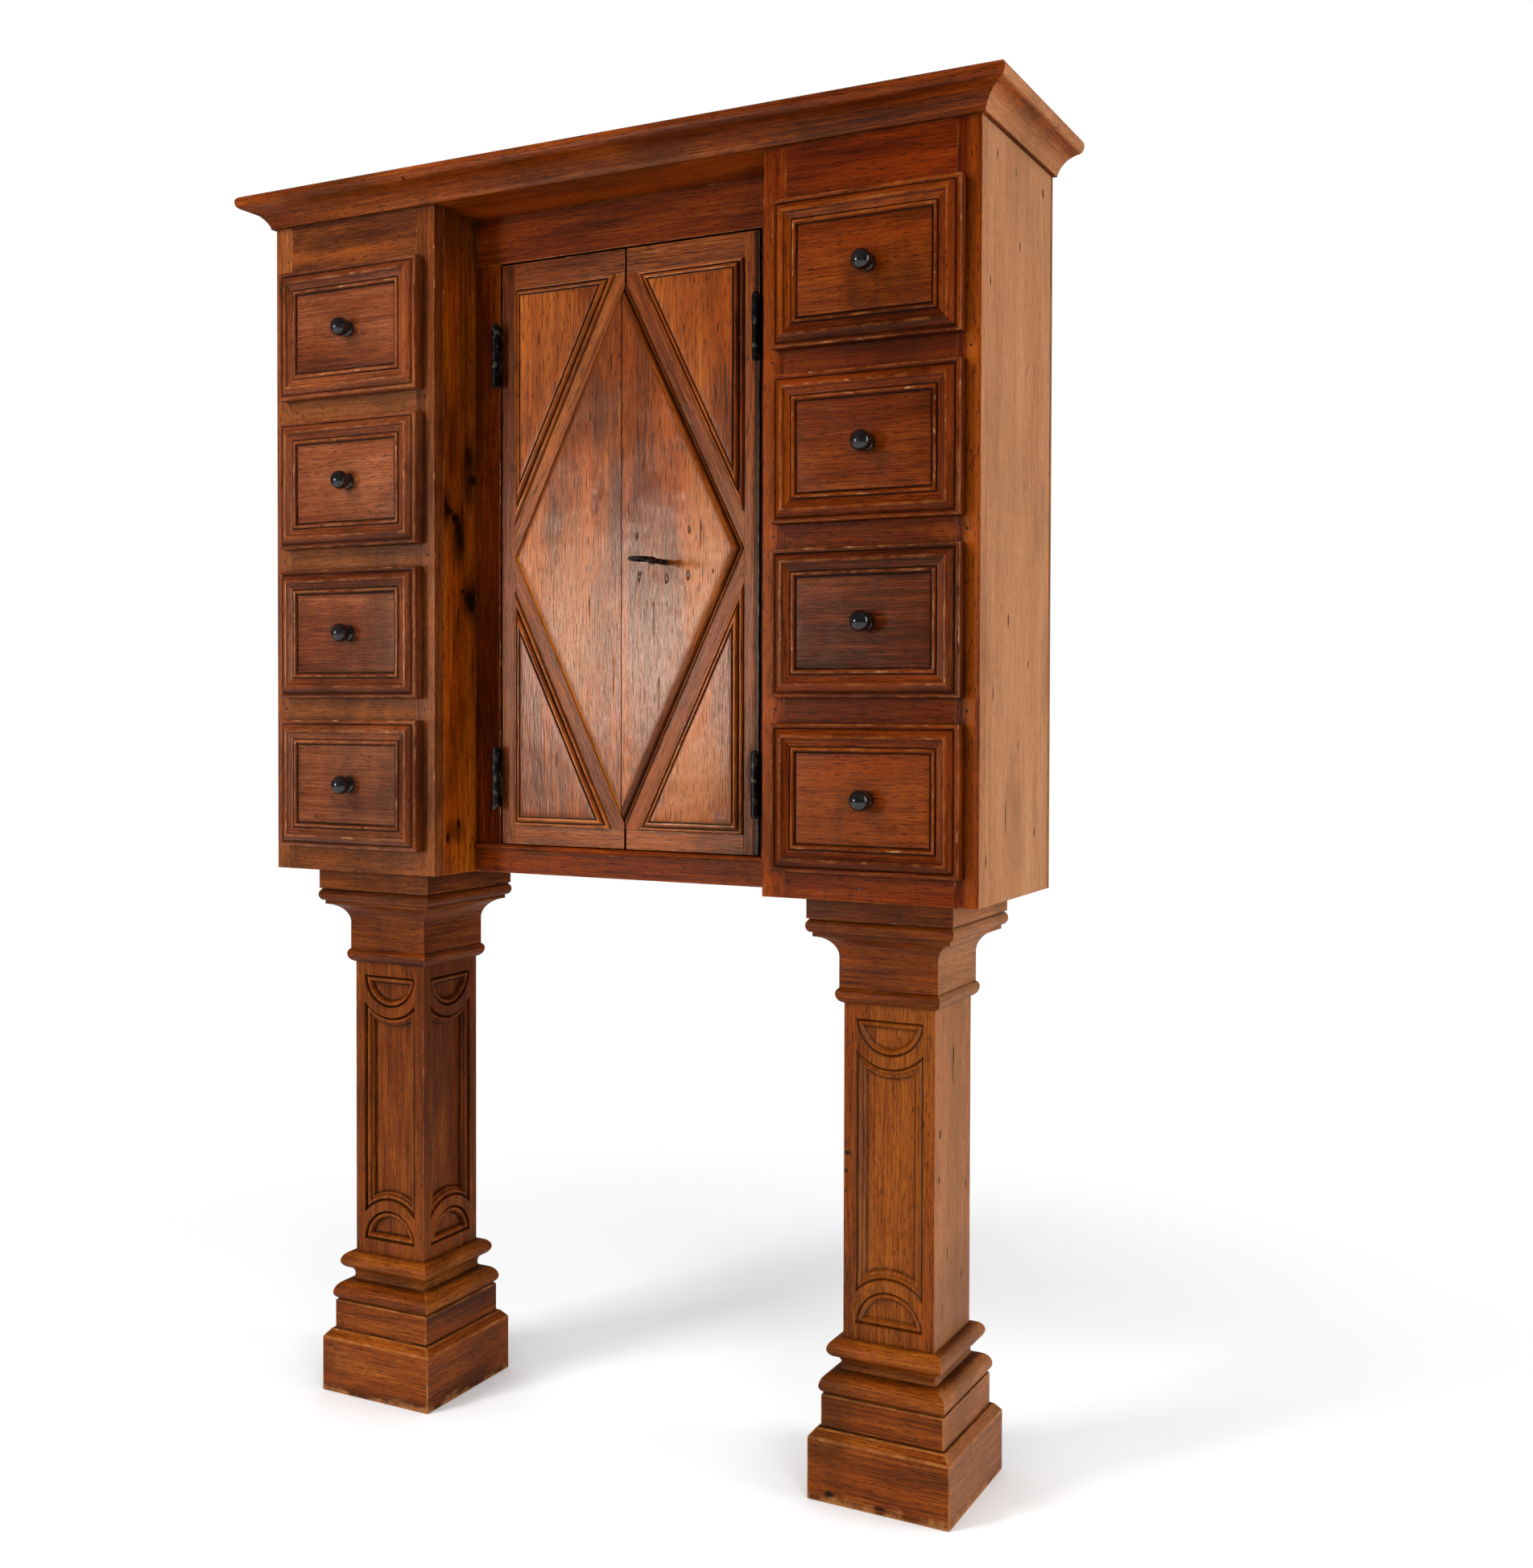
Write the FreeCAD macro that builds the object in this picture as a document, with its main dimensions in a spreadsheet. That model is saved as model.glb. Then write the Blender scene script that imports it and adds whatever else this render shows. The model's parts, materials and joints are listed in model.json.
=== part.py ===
import FreeCAD, Part
import math
import os
import re
import Sketcher
from FreeCAD import Rotation, Vector

# Cabinet on two square columns: two banks of four drawers beside a recessed cupboard
# with a pair of doors. Millimetres, +X to the viewer's right, +Y to the back, +Z up.
# The origin is on the floor, below the middle of the whole.

doc = FreeCAD.newDocument("cabinet")
sheet = doc.addObject("Spreadsheet::Sheet", "sizes")

sizes = {
    # Case
    "case_width": 1174.5,
    "case_depth": 290,
    "case_height": 1004.5,
    "niche_width": 554,
    "niche_depth": 101,
    "board": 22,
    "back_board": 12,
    "back_gap": 1,
    "stile": 33,
    "seat_gap": 0.3,
    # Cornice section, from its foot outwards and up
    "cornice_out": 44.7,
    "cornice_height": 46.7,
    "cornice_toe": 6,
    "cornice_toe_height": 2.5,
    "cornice_nose": 19.9,
    "cornice_nose_depth": 9.7,
    "cornice_nose_rise": 9.9,
    "cornice_top_set": 6.2,
    "cornice_cove_radius": 38,
    "cornice_nose_radius": 9.9,
    "cornice_crown_radius": 8.5,
    # Niche and doors
    "frieze_height": 71.5,
    "niche_rail": 34.5,
    "sill_height": 9,
    "sill_out": 6,
    "left_jamb": 47,
    "right_jamb": 55,
    "seam_gap": 1.6,
    "door_foot_gap": 1.5,
    "door_head_gap": 3,
    "door_strip": 5,
    "door_backing": 17,
    "door_stile": 24,
    "door_head": 35.5,
    "door_foot": 28.5,
    "lozenge_head": 52.5,
    "lozenge_foot": 34,
    "lozenge_shift": 4.75,
    "band_rise": 51,
    "corner_proud": 9,
    "corner_slope": 16,
    "lozenge_proud": 11,
    "lozenge_slope": 12,
    "meeting_relief": 0.9,
    "meeting_bevel": 3.2,
    # Hinges
    "hinge_gap": 3.5,
    "hinge_leaf": 1.5,
    "hinge_proud": 15,
    "hinge_length": 90,
    "hinge_head": 139,
    "hinge_foot": 101.5,
    "knuckle_radius": 5.5,
    "knuckle_gap": 0.4,
    "pin_radius": 2.5,
    "pin_play": 0.05,
    "pin_head": 3,
    "leaf_plate_depth": 26,
    # Lock, key and bolts
    "key_inset": 75,
    "key_drop": 17.5,
    "key_shank": 4,
    "key_play": 0.4,
    "key_reach": 87,
    "key_bow": 15.2,
    "key_bow_straight": 9,
    "key_bow_wire": 2.7,
    "key_collar": 6,
    "key_collar_width": 3,
    "key_collar_reach": 40,
    "key_bit_length": 11,
    "key_bit_width": 10,
    "key_bit_thick": 3.5,
    "keyhole_slot": 15,
    "keyhole_slot_width": 4,
    "lock_width": 80,
    "lock_start": 53,
    "lock_depth": 18,
    "lock_below": 21,
    "lock_above": 39,
    "lock_wall": 1.5,
    "lock_bolt_length": 80,
    "lock_bolt_tip": 69,
    "lock_bolt_height": 12,
    "lock_bolt_thick": 8,
    "lock_bolt_rise": 17,
    "lock_bolt_set": 3,
    "bolt_play": 0.4,
    "door_bolt_inset": 19.5,
    "door_bolt_radius": 4,
    "door_bolt_length": 126,
    "door_bolt_drop": 4,
    "door_bolt_handle": 12,
    "staple_width": 22,
    "staple_height": 8,
    "staple_depth": 12,
    "staple_inset": 17,
    # Cupboard shelves
    "shelf_board": 18,
    "shelf_low": 320,
    "shelf_high": 640,
    "shelf_clearance": 1.5,
    "cleat_width": 20,
    "cleat_height": 22,
    # Drawer fronts
    "front_lowest": 36.9,
    "front_head": 75.3,
    "rail_seen": 33.7,
    "front_lap": 12,
    "front_gap": 0.4,
    "front_board": 11.6,
    "field_proud": 7,
    "mould_width": 40,
    "mould_edge": 6,
    "mould_fillet": 2,
    "ovolo_width": 15,
    "ovolo_radius": 17,
    "mould_crest": 13,
    "mould_drop": 2.5,
    "mould_groove": 5.5,
    "groove_width": 3,
    "bead_width": 6.5,
    "bead_radius": 4.2,
    "bead_level": 10.3,
    "lip_width": 5,
    "lip_level": 9,
    # Knobs
    "knob_shank": 3,
    "knob_play": 0.1,
    "knob_shank_length": 16,
    "knob_base": 12.3,
    "knob_base_depth": 5.8,
    "knob_base_round": 7.3,
    "knob_neck": 8.6,
    "knob_head": 14.3,
    "knob_centre": 17.5,
    "knob_offset": 5,
    # Drawer boxes and runners
    "box_side": 10,
    "box_play": 1,
    "box_foot_gap": 1.5,
    "box_head_gap": 2.3,
    "box_back_gap": 23,
    "box_bottom": 6,
    "box_bottom_rise": 8,
    "runner_height": 16,
    "guide_height": 15,
    "guide_play": 0.6,
    # Legs, from the floor up
    "left_leg_out": 8.6,
    "right_leg_in": 15.7,
    "left_leg_set_back": 15,
    "plinth_width": 212,
    "plinth_height": 86.8,
    "plinth_bevel": 11.6,
    "plinth_bevel_in": 9.6,
    "block_width": 183.4,
    "block_height": 45.9,
    "base_height": 76.2,
    "base_seat": 88.5,
    "base_seat_rise": 2,
    "low_torus": 94.5,
    "low_torus_rise": 9.7,
    "low_torus_top": 80.5,
    "low_torus_height": 27.7,
    "low_torus_lower_radius": 11,
    "low_torus_upper_radius": 20,
    "scotia_foot": 71.5,
    "scotia_step": 2,
    "scotia_top": 73.8,
    "scotia_height": 17.7,
    "scotia_radius": 15,
    "high_torus": 86.4,
    "high_torus_rise": 12.8,
    "high_torus_lower_radius": 13.5,
    "high_torus_upper_radius": 15.5,
    "base_top": 70.5,
    "shaft_width": 137,
    "shaft_height": 469.3,
    "capital_height": 120,
    "astragal": 78.1,
    "astragal_rise": 11.5,
    "astragal_height": 21.5,
    "astragal_lower_radius": 13,
    "astragal_upper_radius": 9.5,
    "neck": 73.8,
    "neck_height": 40,
    "cavetto_height": 33,
    "cavetto_radius": 31,
    "fillet": 102,
    "fillet_height": 6,
    "bead_seat": 105.5,
    "bead_rise": 1.5,
    "capital_bead": 109.6,
    "capital_bead_height": 17.4,
    "capital_bead_radius": 11,
    "abacus_width": 217,
    "abacus_height": 35.7,
    "spigot_radius": 20,
    "spigot_height": 18,
    "spigot_play": 0.3,
    # Carving of the shafts, levels from the shaft's foot
    "carve_depth": 3,
    "carve_half": 45,
    "carve_line": 9,
    "moon_drop": 42,
    "moon_radius": 45.2,
    "moon_head": 28.3,
    "moon_low": 24,
    "panel_head": 76.3,
    "panel_low": 72,
    "panel_arc_radius": 57,
    "panel_dip": 22,
    # Counts
    "drawer_rows": 4,
    "back_board_count": 6,
}

for row, (name, size) in enumerate(sizes.items(), start=1):
    cell = "A%d" % row
    sheet.set(cell, str(size))
    sheet.setAlias(cell, name)
doc.recompute()

# Sizes that follow from the others, used by name as the sizes are
follows = {
    "front_height": "(case_height - front_lowest - front_head - (drawer_rows - 1)*rail_seen)/drawer_rows",
    "front_pitch": "front_height + rail_seen",
    "front_width": "(case_width - niche_width)/2 - 2*stile + 2*front_lap",
    "box_length": "case_depth - back_board - box_back_gap",
    "seam_offset": "(left_jamb - right_jamb)/2",
    "leaf_width": "(niche_width - left_jamb - right_jamb - seam_gap)/2 - hinge_gap",
    "door_low_level": "niche_rail + sill_height + door_foot_gap",
    "door_high_level": "case_height - frieze_height - door_head_gap",
    "lozenge_middle": (
        "(door_high_level - door_low_level + lozenge_foot - lozenge_head)/2 + lozenge_shift"
    ),
    "lozenge_up": "door_high_level - door_low_level - lozenge_head - lozenge_middle",
    "lozenge_down": "lozenge_middle - lozenge_foot",
    "hinge_upper": "door_high_level - hinge_head",
    "hinge_lower": "door_low_level + hinge_foot",
    "key_across": "seam_offset + key_inset",
    "key_level": "door_low_level + lozenge_middle - key_drop",
    "left_leg_across": "-(case_width + niche_width)/4 - left_leg_out",
    "right_leg_across": "(case_width + niche_width)/4 - right_leg_in",
    "left_leg_back": "case_depth/2 + left_leg_set_back",
    "right_leg_back": "case_depth - abacus_width/2",
    "moon_high": "shaft_height - moon_head",
    "panel_high": "shaft_height - panel_head",
}

# Heights and places written out in full
leg_top = (
    "(plinth_height + plinth_bevel + block_height + base_height"
    " + shaft_height + capital_height + abacus_height)"
)
knob_nose = "(front_gap + front_board + field_proud + knob_centre + knob_head)"
front_plane = "(" + knob_nose + " - case_depth)/2"
bank_width = "((case_width - niche_width)/2)"
bank_centre = "((case_width + niche_width)/4)"
box_half = "(" + bank_width + "/2 - stile - box_play)"
box_foot = "(front_lap + box_foot_gap)"
box_height = "(front_height - 2*front_lap - box_foot_gap - box_head_gap)"
leaf_edge = "(seam_offset - seam_gap/2 - leaf_width)"
jamb_edge = "(" + leaf_edge + " - hinge_gap)"
hinge_across = "(" + leaf_edge + " - hinge_gap/2)"
hinge_back = "(niche_depth - hinge_proud)"
sill_top = "(niche_rail + sill_height)"
frieze_foot = "(case_height - frieze_height)"
door_low = "door_low_level"
door_high = "door_high_level"
door_rear = "(niche_depth + door_strip + door_backing)"
field_face = "(front_gap + front_board + field_proud)"

cutter = "3"  # how far a cutting shape runs past what it cuts
nodes = []


def bound(formula):
    def known(word):
        name = word.group(0)
        if name in follows:
            return "(" + bound(follows[name]) + ")"
        return "sizes." + name if name in sizes else name

    return re.sub("[a-z][a-z_]+", known, formula)


def value(formula):
    return float(sheet.evalExpression(bound(formula)))


def bind(piece, **formulas):
    for name, formula in formulas.items():
        piece.setExpression(name, bound(formula))
    return piece


def moved(piece, x="0", y="0", z="0"):
    for axis, formula in zip("xyz", (x, y, z)):
        if formula != "0":
            piece.setExpression("Placement.Base." + axis, bound(formula))
    return piece


# A board with its low corner at x, y, z
def block(name, x, y, z, wide, deep, tall):
    piece = doc.addObject("Part::Box", name)
    bind(piece, Length=wide, Width=deep, Height=tall)
    return moved(piece, x, y, z)


# A rod along Z, or along Y when it is turned to point into the case
def rod(name, radius, length, x, y, z, into_case=False):
    piece = doc.addObject("Part::Cylinder", name)
    bind(piece, Radius=radius, Height=length)
    if into_case:
        piece.Placement.Rotation = Rotation(Vector(1, 0, 0), -90)
    return moved(piece, x, y, z)


def cut(name, base, tool):
    piece = doc.addObject("Part::Cut", name)
    piece.Base = base
    piece.Tool = tool
    return piece


def fuse(name, members):
    piece = doc.addObject("Part::MultiFuse", name)
    piece.Shapes = members
    return piece


def group(name, members, x="0", y="0", z="0"):
    piece = doc.addObject("Part::Compound", name)
    piece.Links = members
    return moved(piece, x, y, z)


def mirrored(name, source, normal, x="0", z="0"):
    piece = doc.addObject("Part::Mirroring", name)
    piece.Source = source
    piece.Normal = normal
    for axis, formula in (("x", x), ("z", z)):
        if formula != "0":
            piece.setExpression("Base." + axis, bound(formula))
    return piece


# A finished sub-part: its members, moved from the case's own front plane to the origin
def node(label, members, x="0", y="0", z=leg_top):
    piece = group(label, members, x, front_plane + " + " + y, z)
    piece.Label = label
    nodes.append(piece)
    return piece


# One closed loop. A corner is (across, up), or (across, up, radius, side) when an arc
# leads to it: side is 1 when the arc's centre lies left of the way there, and -1 right.
def loop(sketch, corners):
    count = len(corners)
    points = [Vector(value(corner[0]), value(corner[1]), 0) for corner in corners]
    first = sketch.GeometryCount
    starts = []
    ends = []
    for index in range(count):
        after = (index + 1) % count
        here = points[index]
        there = points[after]
        if len(corners[after]) == 2:
            sketch.addGeometry(Part.LineSegment(here, there), False)
            starts.append(1)
            ends.append(2)
            continue
        radius = value(corners[after][2])
        side = corners[after][3]
        chord = there - here
        left = Vector(-chord.y, chord.x, 0).normalize()
        height = math.sqrt(radius ** 2 - (chord.Length / 2) ** 2)
        centre = (here + there) * 0.5 + left * (side * height)
        turn_from = math.atan2(here.y - centre.y, here.x - centre.x)
        turn_to = math.atan2(there.y - centre.y, there.x - centre.x)
        circle = Part.Circle(centre, Vector(0, 0, 1), radius)
        if side > 0:
            sketch.addGeometry(Part.ArcOfCircle(circle, turn_from, turn_to), False)
            starts.append(1)
            ends.append(2)
        else:
            sketch.addGeometry(Part.ArcOfCircle(circle, turn_to, turn_from), False)
            starts.append(2)
            ends.append(1)
    for index in range(count):
        before = (index - 1) % count
        edge = first + index
        sketch.addConstraint(
            Sketcher.Constraint("Coincident", first + before, ends[before], edge, starts[index])
        )
        for kind, place, formula in (
            ("DistanceX", points[index].x, corners[index][0]),
            ("DistanceY", points[index].y, corners[index][1]),
        ):
            number = sketch.addConstraint(
                Sketcher.Constraint(kind, -1, 1, edge, starts[index], place)
            )
            sketch.setExpression("Constraints[%d]" % number, bound(formula))
        if len(corners[index]) == 4:
            arc = first + before
            radius = value(corners[index][2])
            number = sketch.addConstraint(Sketcher.Constraint("Radius", arc, radius))
            sketch.setExpression("Constraints[%d]" % number, bound(corners[index][2]))


def sketched(body, role, loops, back="0"):
    sketch = body.newObject("Sketcher::SketchObject", body.Name + "_sketch")
    plane = [part for part in body.Origin.OriginFeatures if part.Role == role][0]
    sketch.AttachmentSupport = [(plane, "")]
    sketch.MapMode = "FlatFace"
    if back != "0":
        sketch.setExpression("AttachmentOffset.Base.z", bound(back))
    for corners in loops:
        loop(sketch, corners)
    return sketch


# A solid of constant section. Symmetric about its sketch, or two lengths: one along the
# sketch's normal and one against it.
def padded(name, role, corners, length, against="0", symmetric=False, back="0"):
    body = doc.addObject("PartDesign::Body", name)
    sketch = sketched(body, role, [corners], back)
    pad = body.newObject("PartDesign::Pad", name + "_pad")
    pad.Profile = sketch
    bind(pad, Length=length)
    if symmetric:
        pad.SideType = "Symmetric"
    elif against != "0":
        pad.SideType = "Two sides"
        bind(pad, Length2=against)
    return body


# A recess right through the body, or to a depth
def pocketed(body, role, loops, depth="0", back="0"):
    sketch = sketched(body, role, loops, back)
    pocket = body.newObject("PartDesign::Pocket", body.Name + "_pocket")
    pocket.Profile = sketch
    if depth == "0":
        pocket.Type = "ThroughAll"
        pocket.SideType = "Symmetric"
    else:
        bind(pocket, Length=depth)
    return body


def negative(formula):
    return "-(" + formula + ")"


# Members of one width all round: a half section crossed with itself, so that the
# mouldings are mitred at the four corners
def square_section(name, half, widest):
    other = [
        (negative(half[i][0]), half[i][1]) + (half[i + 1][2:] if i + 1 < len(half) else ())
        for i in range(len(half) - 1, -1, -1)
    ]
    corners = half + other
    length = "2*" + widest + " + 2*" + cutter
    along = padded(name + "_along", "XZ_Plane", corners, length, symmetric=True)
    across = padded(name + "_across", "YZ_Plane", corners, length, symmetric=True)
    piece = doc.addObject("Part::Common", name)
    piece.Base = along
    piece.Tool = across
    return piece


# Case

inner = "(board)"
panel_depth = "(case_depth - board - back_board)"


def make_panels():
    half = "(case_width/2)"
    cheek = "(niche_width/2)"
    places = {
        "left_side_panel": negative(half),
        "left_inner_panel": negative(cheek) + " - board",
        "right_inner_panel": cheek,
        "right_side_panel": half + " - board",
    }
    for label, x in places.items():
        panel = block(label + "_board", x, inner, "0", "board", panel_depth, "case_height")
        node(label, [panel])
    top = block("top_plank", negative(half), "0", "case_height", "case_width", "case_depth", "board")
    node("top_board", [top])


def make_back():
    width = "(case_width/back_board_count)"
    boards = []
    for index in range(int(value("back_board_count"))):
        x = "-case_width/2 + back_gap/2 + %d*%s" % (index, width)
        y = "case_depth - back_board"
        boards.append(
            block("back_plank", x, y, "0", width + " - back_gap", "back_board", "case_height")
        )
    node("back_boards", boards)


def make_floors():
    boards = []
    wide = bank_width + " - 2*board"
    for side, leg in ((-1, "left_leg"), (1, "right_leg")):
        x = "%d*%s - (%s)/2" % (side, bank_centre, wide)
        plank = block("bank_floor", x, inner, "0", wide, panel_depth, "board")
        hole = rod(
            "spigot_hole", "spigot_radius + spigot_play", "board + 2*" + cutter,
            leg + "_across", leg + "_back", "-" + cutter,
        )
        boards.append(cut("bank_floor_board", plank, hole))
    depth = "case_depth - back_board - niche_depth - board"
    boards.append(
        block(
            "cupboard_floor", "-niche_width/2", "niche_depth + board", "0",
            "niche_width", depth, "board",
        )
    )
    node("floor_boards", boards)


def make_face_frames():
    left = "-" + bank_width + "/2"
    between = bank_width + " - 2*stile"
    pieces = [
        block("outer_stile", left, "0", "0", "stile", "board", "case_height"),
        block("inner_stile", negative(left) + " - stile", "0", "0", "stile", "board", "case_height"),
    ]
    rail_rise = "front_height - front_lap"
    levels = [("0", "front_lowest + front_lap")]
    rows = int(value("drawer_rows"))
    for index in range(rows - 1):
        low = "front_lowest + %d*front_pitch + %s" % (index, rail_rise)
        levels.append((low, "front_pitch - front_height + 2*front_lap"))
    top = "front_lowest + %d*front_pitch + %s" % (rows - 1, rail_rise)
    levels.append((top, "case_height - (" + top + ")"))
    for low, tall in levels:
        pieces.append(block("rail", left + " + stile", "0", low, between, "board", tall))
    node("left_face_frame", pieces, negative(bank_centre))
    node("right_face_frame", pieces, bank_centre)


def make_runners():
    wall = "(" + bank_width + "/2 - board)"
    edge = "(" + box_half + " - box_side)"
    guide = "(" + box_half + " + guide_play)"
    top = "(" + box_foot + " - seat_gap)"
    corners = [
        (edge, top + " - runner_height"),
        (wall, top + " - runner_height"),
        (wall, top + " + guide_height"),
        (guide, top + " + guide_height"),
        (guide, top),
        (edge, top),
    ]
    runner = padded(
        "runner", "XZ_Plane", corners, panel_depth, back="back_board - case_depth"
    )
    pair = group("runner_pair", [runner, mirrored("runner_other", runner, Vector(1, 0, 0))])
    placed = []
    for side in (-1, 1):
        for index in range(int(value("drawer_rows"))):
            z = "front_lowest + %d*front_pitch" % index
            placed.append(group("runners_set", [pair], "%d*%s" % (side, bank_centre), "0", z))
    node("drawer_runners", placed)


# Cornice: a toe, a cove and a rounded nose, mitred at the front corners

def cornice_section(out, up):
    nose_foot = "(cornice_height - cornice_nose)"
    widest = "(cornice_height - cornice_nose + cornice_nose_rise)"
    return [
        (out("0"), up("0")),
        (out("cornice_toe"), up("0")),
        (out("cornice_toe"), up("cornice_toe_height")),
        (out("(cornice_out - cornice_nose_depth)"), up(nose_foot), "cornice_cove_radius"),
        (out("cornice_out"), up(widest), "cornice_nose_radius"),
        (out("(cornice_out - cornice_top_set)"), up("cornice_height"), "cornice_crown_radius"),
        (out("0"), up("cornice_height")),
    ]


def with_sides(corners, sides):
    ways = iter(sides)
    return [corner + (next(ways),) if len(corner) == 3 else corner for corner in corners]


def make_cornice():
    half = "(case_width/2)"
    reach = "(cornice_out + " + cutter + ")"

    def rise(formula):
        return "case_height + " + formula

    front_corners = with_sides(cornice_section(lambda out: "-" + out, rise), (1, -1, -1))
    front = padded(
        "cornice_front", "YZ_Plane", front_corners, "case_width + 2*cornice_out", symmetric=True
    )
    ends = []
    for sign in ("", "-"):
        ends.append([
            (sign + "(" + half + " - " + cutter + ")", cutter),
            (sign + "(" + half + " + " + reach + ")", "-" + reach),
            (sign + "(" + half + " + " + reach + ")", cutter),
        ])
    pocketed(front, "XY_Plane", ends)
    side_corners = with_sides(
        cornice_section(lambda out: half + " + " + out, rise), (-1, 1, 1)
    )
    side = padded(
        "cornice_return", "XZ_Plane", side_corners, "cornice_out", against="case_depth"
    )
    mitre = [
        (half + " - " + cutter, cutter),
        (half + " + " + reach, "-" + reach),
        (half + " - " + cutter, "-" + reach),
    ]
    pocketed(side, "XY_Plane", [mitre])
    other = mirrored("cornice_other_return", side, Vector(1, 0, 0))
    node("cornice_moulding", [front, side, other])


# Niche

def make_niche():
    frieze = block(
        "frieze", "-niche_width/2", "niche_depth", frieze_foot, "niche_width", "board",
        "frieze_height",
    )
    node("frieze_rail", [frieze])
    rail = block(
        "foot_rail", "-niche_width/2", "niche_depth", "0", "niche_width", "board", "niche_rail"
    )
    nose = "(niche_depth - sill_out)"
    sill = padded("sill", "YZ_Plane", [
        (nose + " + sill_height/2", "niche_rail"),
        ("niche_depth + board", "niche_rail"),
        ("niche_depth + board", sill_top),
        (nose + " + sill_height/2", sill_top),
        (nose, "niche_rail + sill_height/2", "sill_height/2", 1),
        (nose + " + sill_height/2", "niche_rail", "sill_height/2", 1),
    ][:-1], "niche_width", symmetric=True)
    node("niche_foot_rail", [rail, sill])
    tall = frieze_foot + " - " + sill_top
    right_edge = "(2*seam_offset - " + jamb_edge + ")"
    left = block(
        "left_jamb", "-niche_width/2", "niche_depth", sill_top,
        jamb_edge + " + niche_width/2", "board", tall,
    )
    right = block(
        "right_jamb", right_edge, "niche_depth", sill_top,
        "niche_width/2 - " + right_edge, "board", tall,
    )
    node("door_jambs", [left, right])


def make_shelves():
    pieces = []
    front = door_rear + " + shelf_clearance"
    depth = "case_depth - back_board - " + door_rear + " - shelf_clearance"
    for level in ("shelf_low", "shelf_high"):
        pieces.append(
            block("shelf", "-niche_width/2", front, level, "niche_width", depth, "shelf_board")
        )
        for x in ("-niche_width/2", "niche_width/2 - cleat_width"):
            pieces.append(
                block("cleat", x, front + " + cleat_width", level + " - cleat_height",
                      "cleat_width", depth + " - cleat_width", "cleat_height")
            )
    node("cupboard_shelves", pieces)


# Doors: the left leaf is built, and the right leaf is its mirror image at the seam

# A plate seen from the front, from its rear plane towards the viewer
def front_plate(name, corners, rear, thick):
    return padded(name, "XZ_Plane", corners, thick, back="-(" + rear + ")")


def raised(body, face, slope, rise, skip_seam):
    doc.recompute()
    level = value(face)
    meeting = value("seam_offset - seam_gap/2")
    shape = body.Tip.Shape
    names = []
    for index, edge in enumerate(shape.Edges, start=1):
        ends = [vertex.Point for vertex in edge.Vertexes]
        on_face = all(abs(end.y - level) < 0.01 for end in ends)
        on_seam = all(abs(end.x - meeting) < 0.01 for end in ends)
        if on_face and not (skip_seam and on_seam):
            names.append("Edge%d" % index)
    chamfer = body.newObject("PartDesign::Chamfer", body.Name + "_slope")
    chamfer.Base = (body.Tip.Name and body.Group[-2], names)
    chamfer.ChamferType = "Two distances"
    bind(chamfer, Size=rise, Size2=slope)
    body.Tip = chamfer
    return body


inner_edge = "(" + leaf_edge + " + door_stile)"
meeting_edge = "(" + leaf_edge + " + leaf_width)"
strip_edge = "(" + meeting_edge + " - meeting_relief)"
middle = "(" + door_low + " + lozenge_middle)"
head_line = "(" + door_high + " - door_head)"
foot_line = "(" + door_low + " + door_foot)"
half_lozenge = "(leaf_width - door_stile)"
upper_slope = "(lozenge_up/" + half_lozenge + ")"
lower_slope = "(lozenge_down/" + half_lozenge + ")"
upper_reach = "(" + inner_edge + " + (" + head_line + " - " + middle + " - band_rise)/" + upper_slope + ")"
lower_reach = "(" + inner_edge + " + (" + middle + " - " + foot_line + " - band_rise)/" + lower_slope + ")"


def make_left_leaf():
    strip_rear = "(niche_depth + door_strip)"
    backing = padded("door_backing", "XY_Plane", [
        (leaf_edge, strip_rear),
        (strip_edge, strip_rear),
        (meeting_edge + " - meeting_bevel", door_rear),
        (leaf_edge, door_rear),
    ], door_high + " - " + door_low, back=door_low)
    at_seam = "(meeting_relief/" + half_lozenge + ")"
    plates = {
        "door_stile": [
            (leaf_edge, door_low), (inner_edge, door_low),
            (inner_edge, door_high), (leaf_edge, door_high),
        ],
        "door_head": [
            (inner_edge, head_line), (strip_edge, head_line),
            (strip_edge, door_high), (inner_edge, door_high),
        ],
        "door_foot": [
            (inner_edge, door_low), (strip_edge, door_low),
            (strip_edge, foot_line), (inner_edge, foot_line),
        ],
        "upper_band": [
            (inner_edge, middle),
            (strip_edge, middle + " + lozenge_up - lozenge_up*" + at_seam),
            (strip_edge, head_line),
            (upper_reach, head_line),
            (inner_edge, middle + " + band_rise"),
        ],
        "lower_band": [
            (inner_edge, middle),
            (inner_edge, middle + " - band_rise"),
            (lower_reach, foot_line),
            (strip_edge, foot_line),
            (strip_edge, middle + " - lozenge_down + lozenge_down*" + at_seam),
        ],
    }
    frame = [backing]
    for name, corners in plates.items():
        frame.append(front_plate(name + "_plate", corners, strip_rear, "door_strip"))

    corner_thick = "door_strip + corner_proud"
    corner_face = "niche_depth - corner_proud"
    upper = front_plate("upper_corner", [
        (inner_edge, middle + " + band_rise"),
        (upper_reach, head_line),
        (inner_edge, head_line),
    ], strip_rear, corner_thick)
    lower = front_plate("lower_corner", [
        (inner_edge, foot_line),
        (lower_reach, foot_line),
        (inner_edge, middle + " - band_rise"),
    ], strip_rear, corner_thick)
    lozenge = front_plate("lozenge_half", [
        (inner_edge, middle),
        (meeting_edge, middle + " - lozenge_down"),
        (meeting_edge, middle + " + lozenge_up"),
    ], strip_rear, "door_strip + lozenge_proud")
    for corner in (upper, lower):
        raised(corner, corner_face, "corner_slope", "corner_proud", False)
    raised(lozenge, "niche_depth - lozenge_proud", "lozenge_slope", "lozenge_proud", True)
    return frame, [upper, lower, lozenge]


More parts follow.
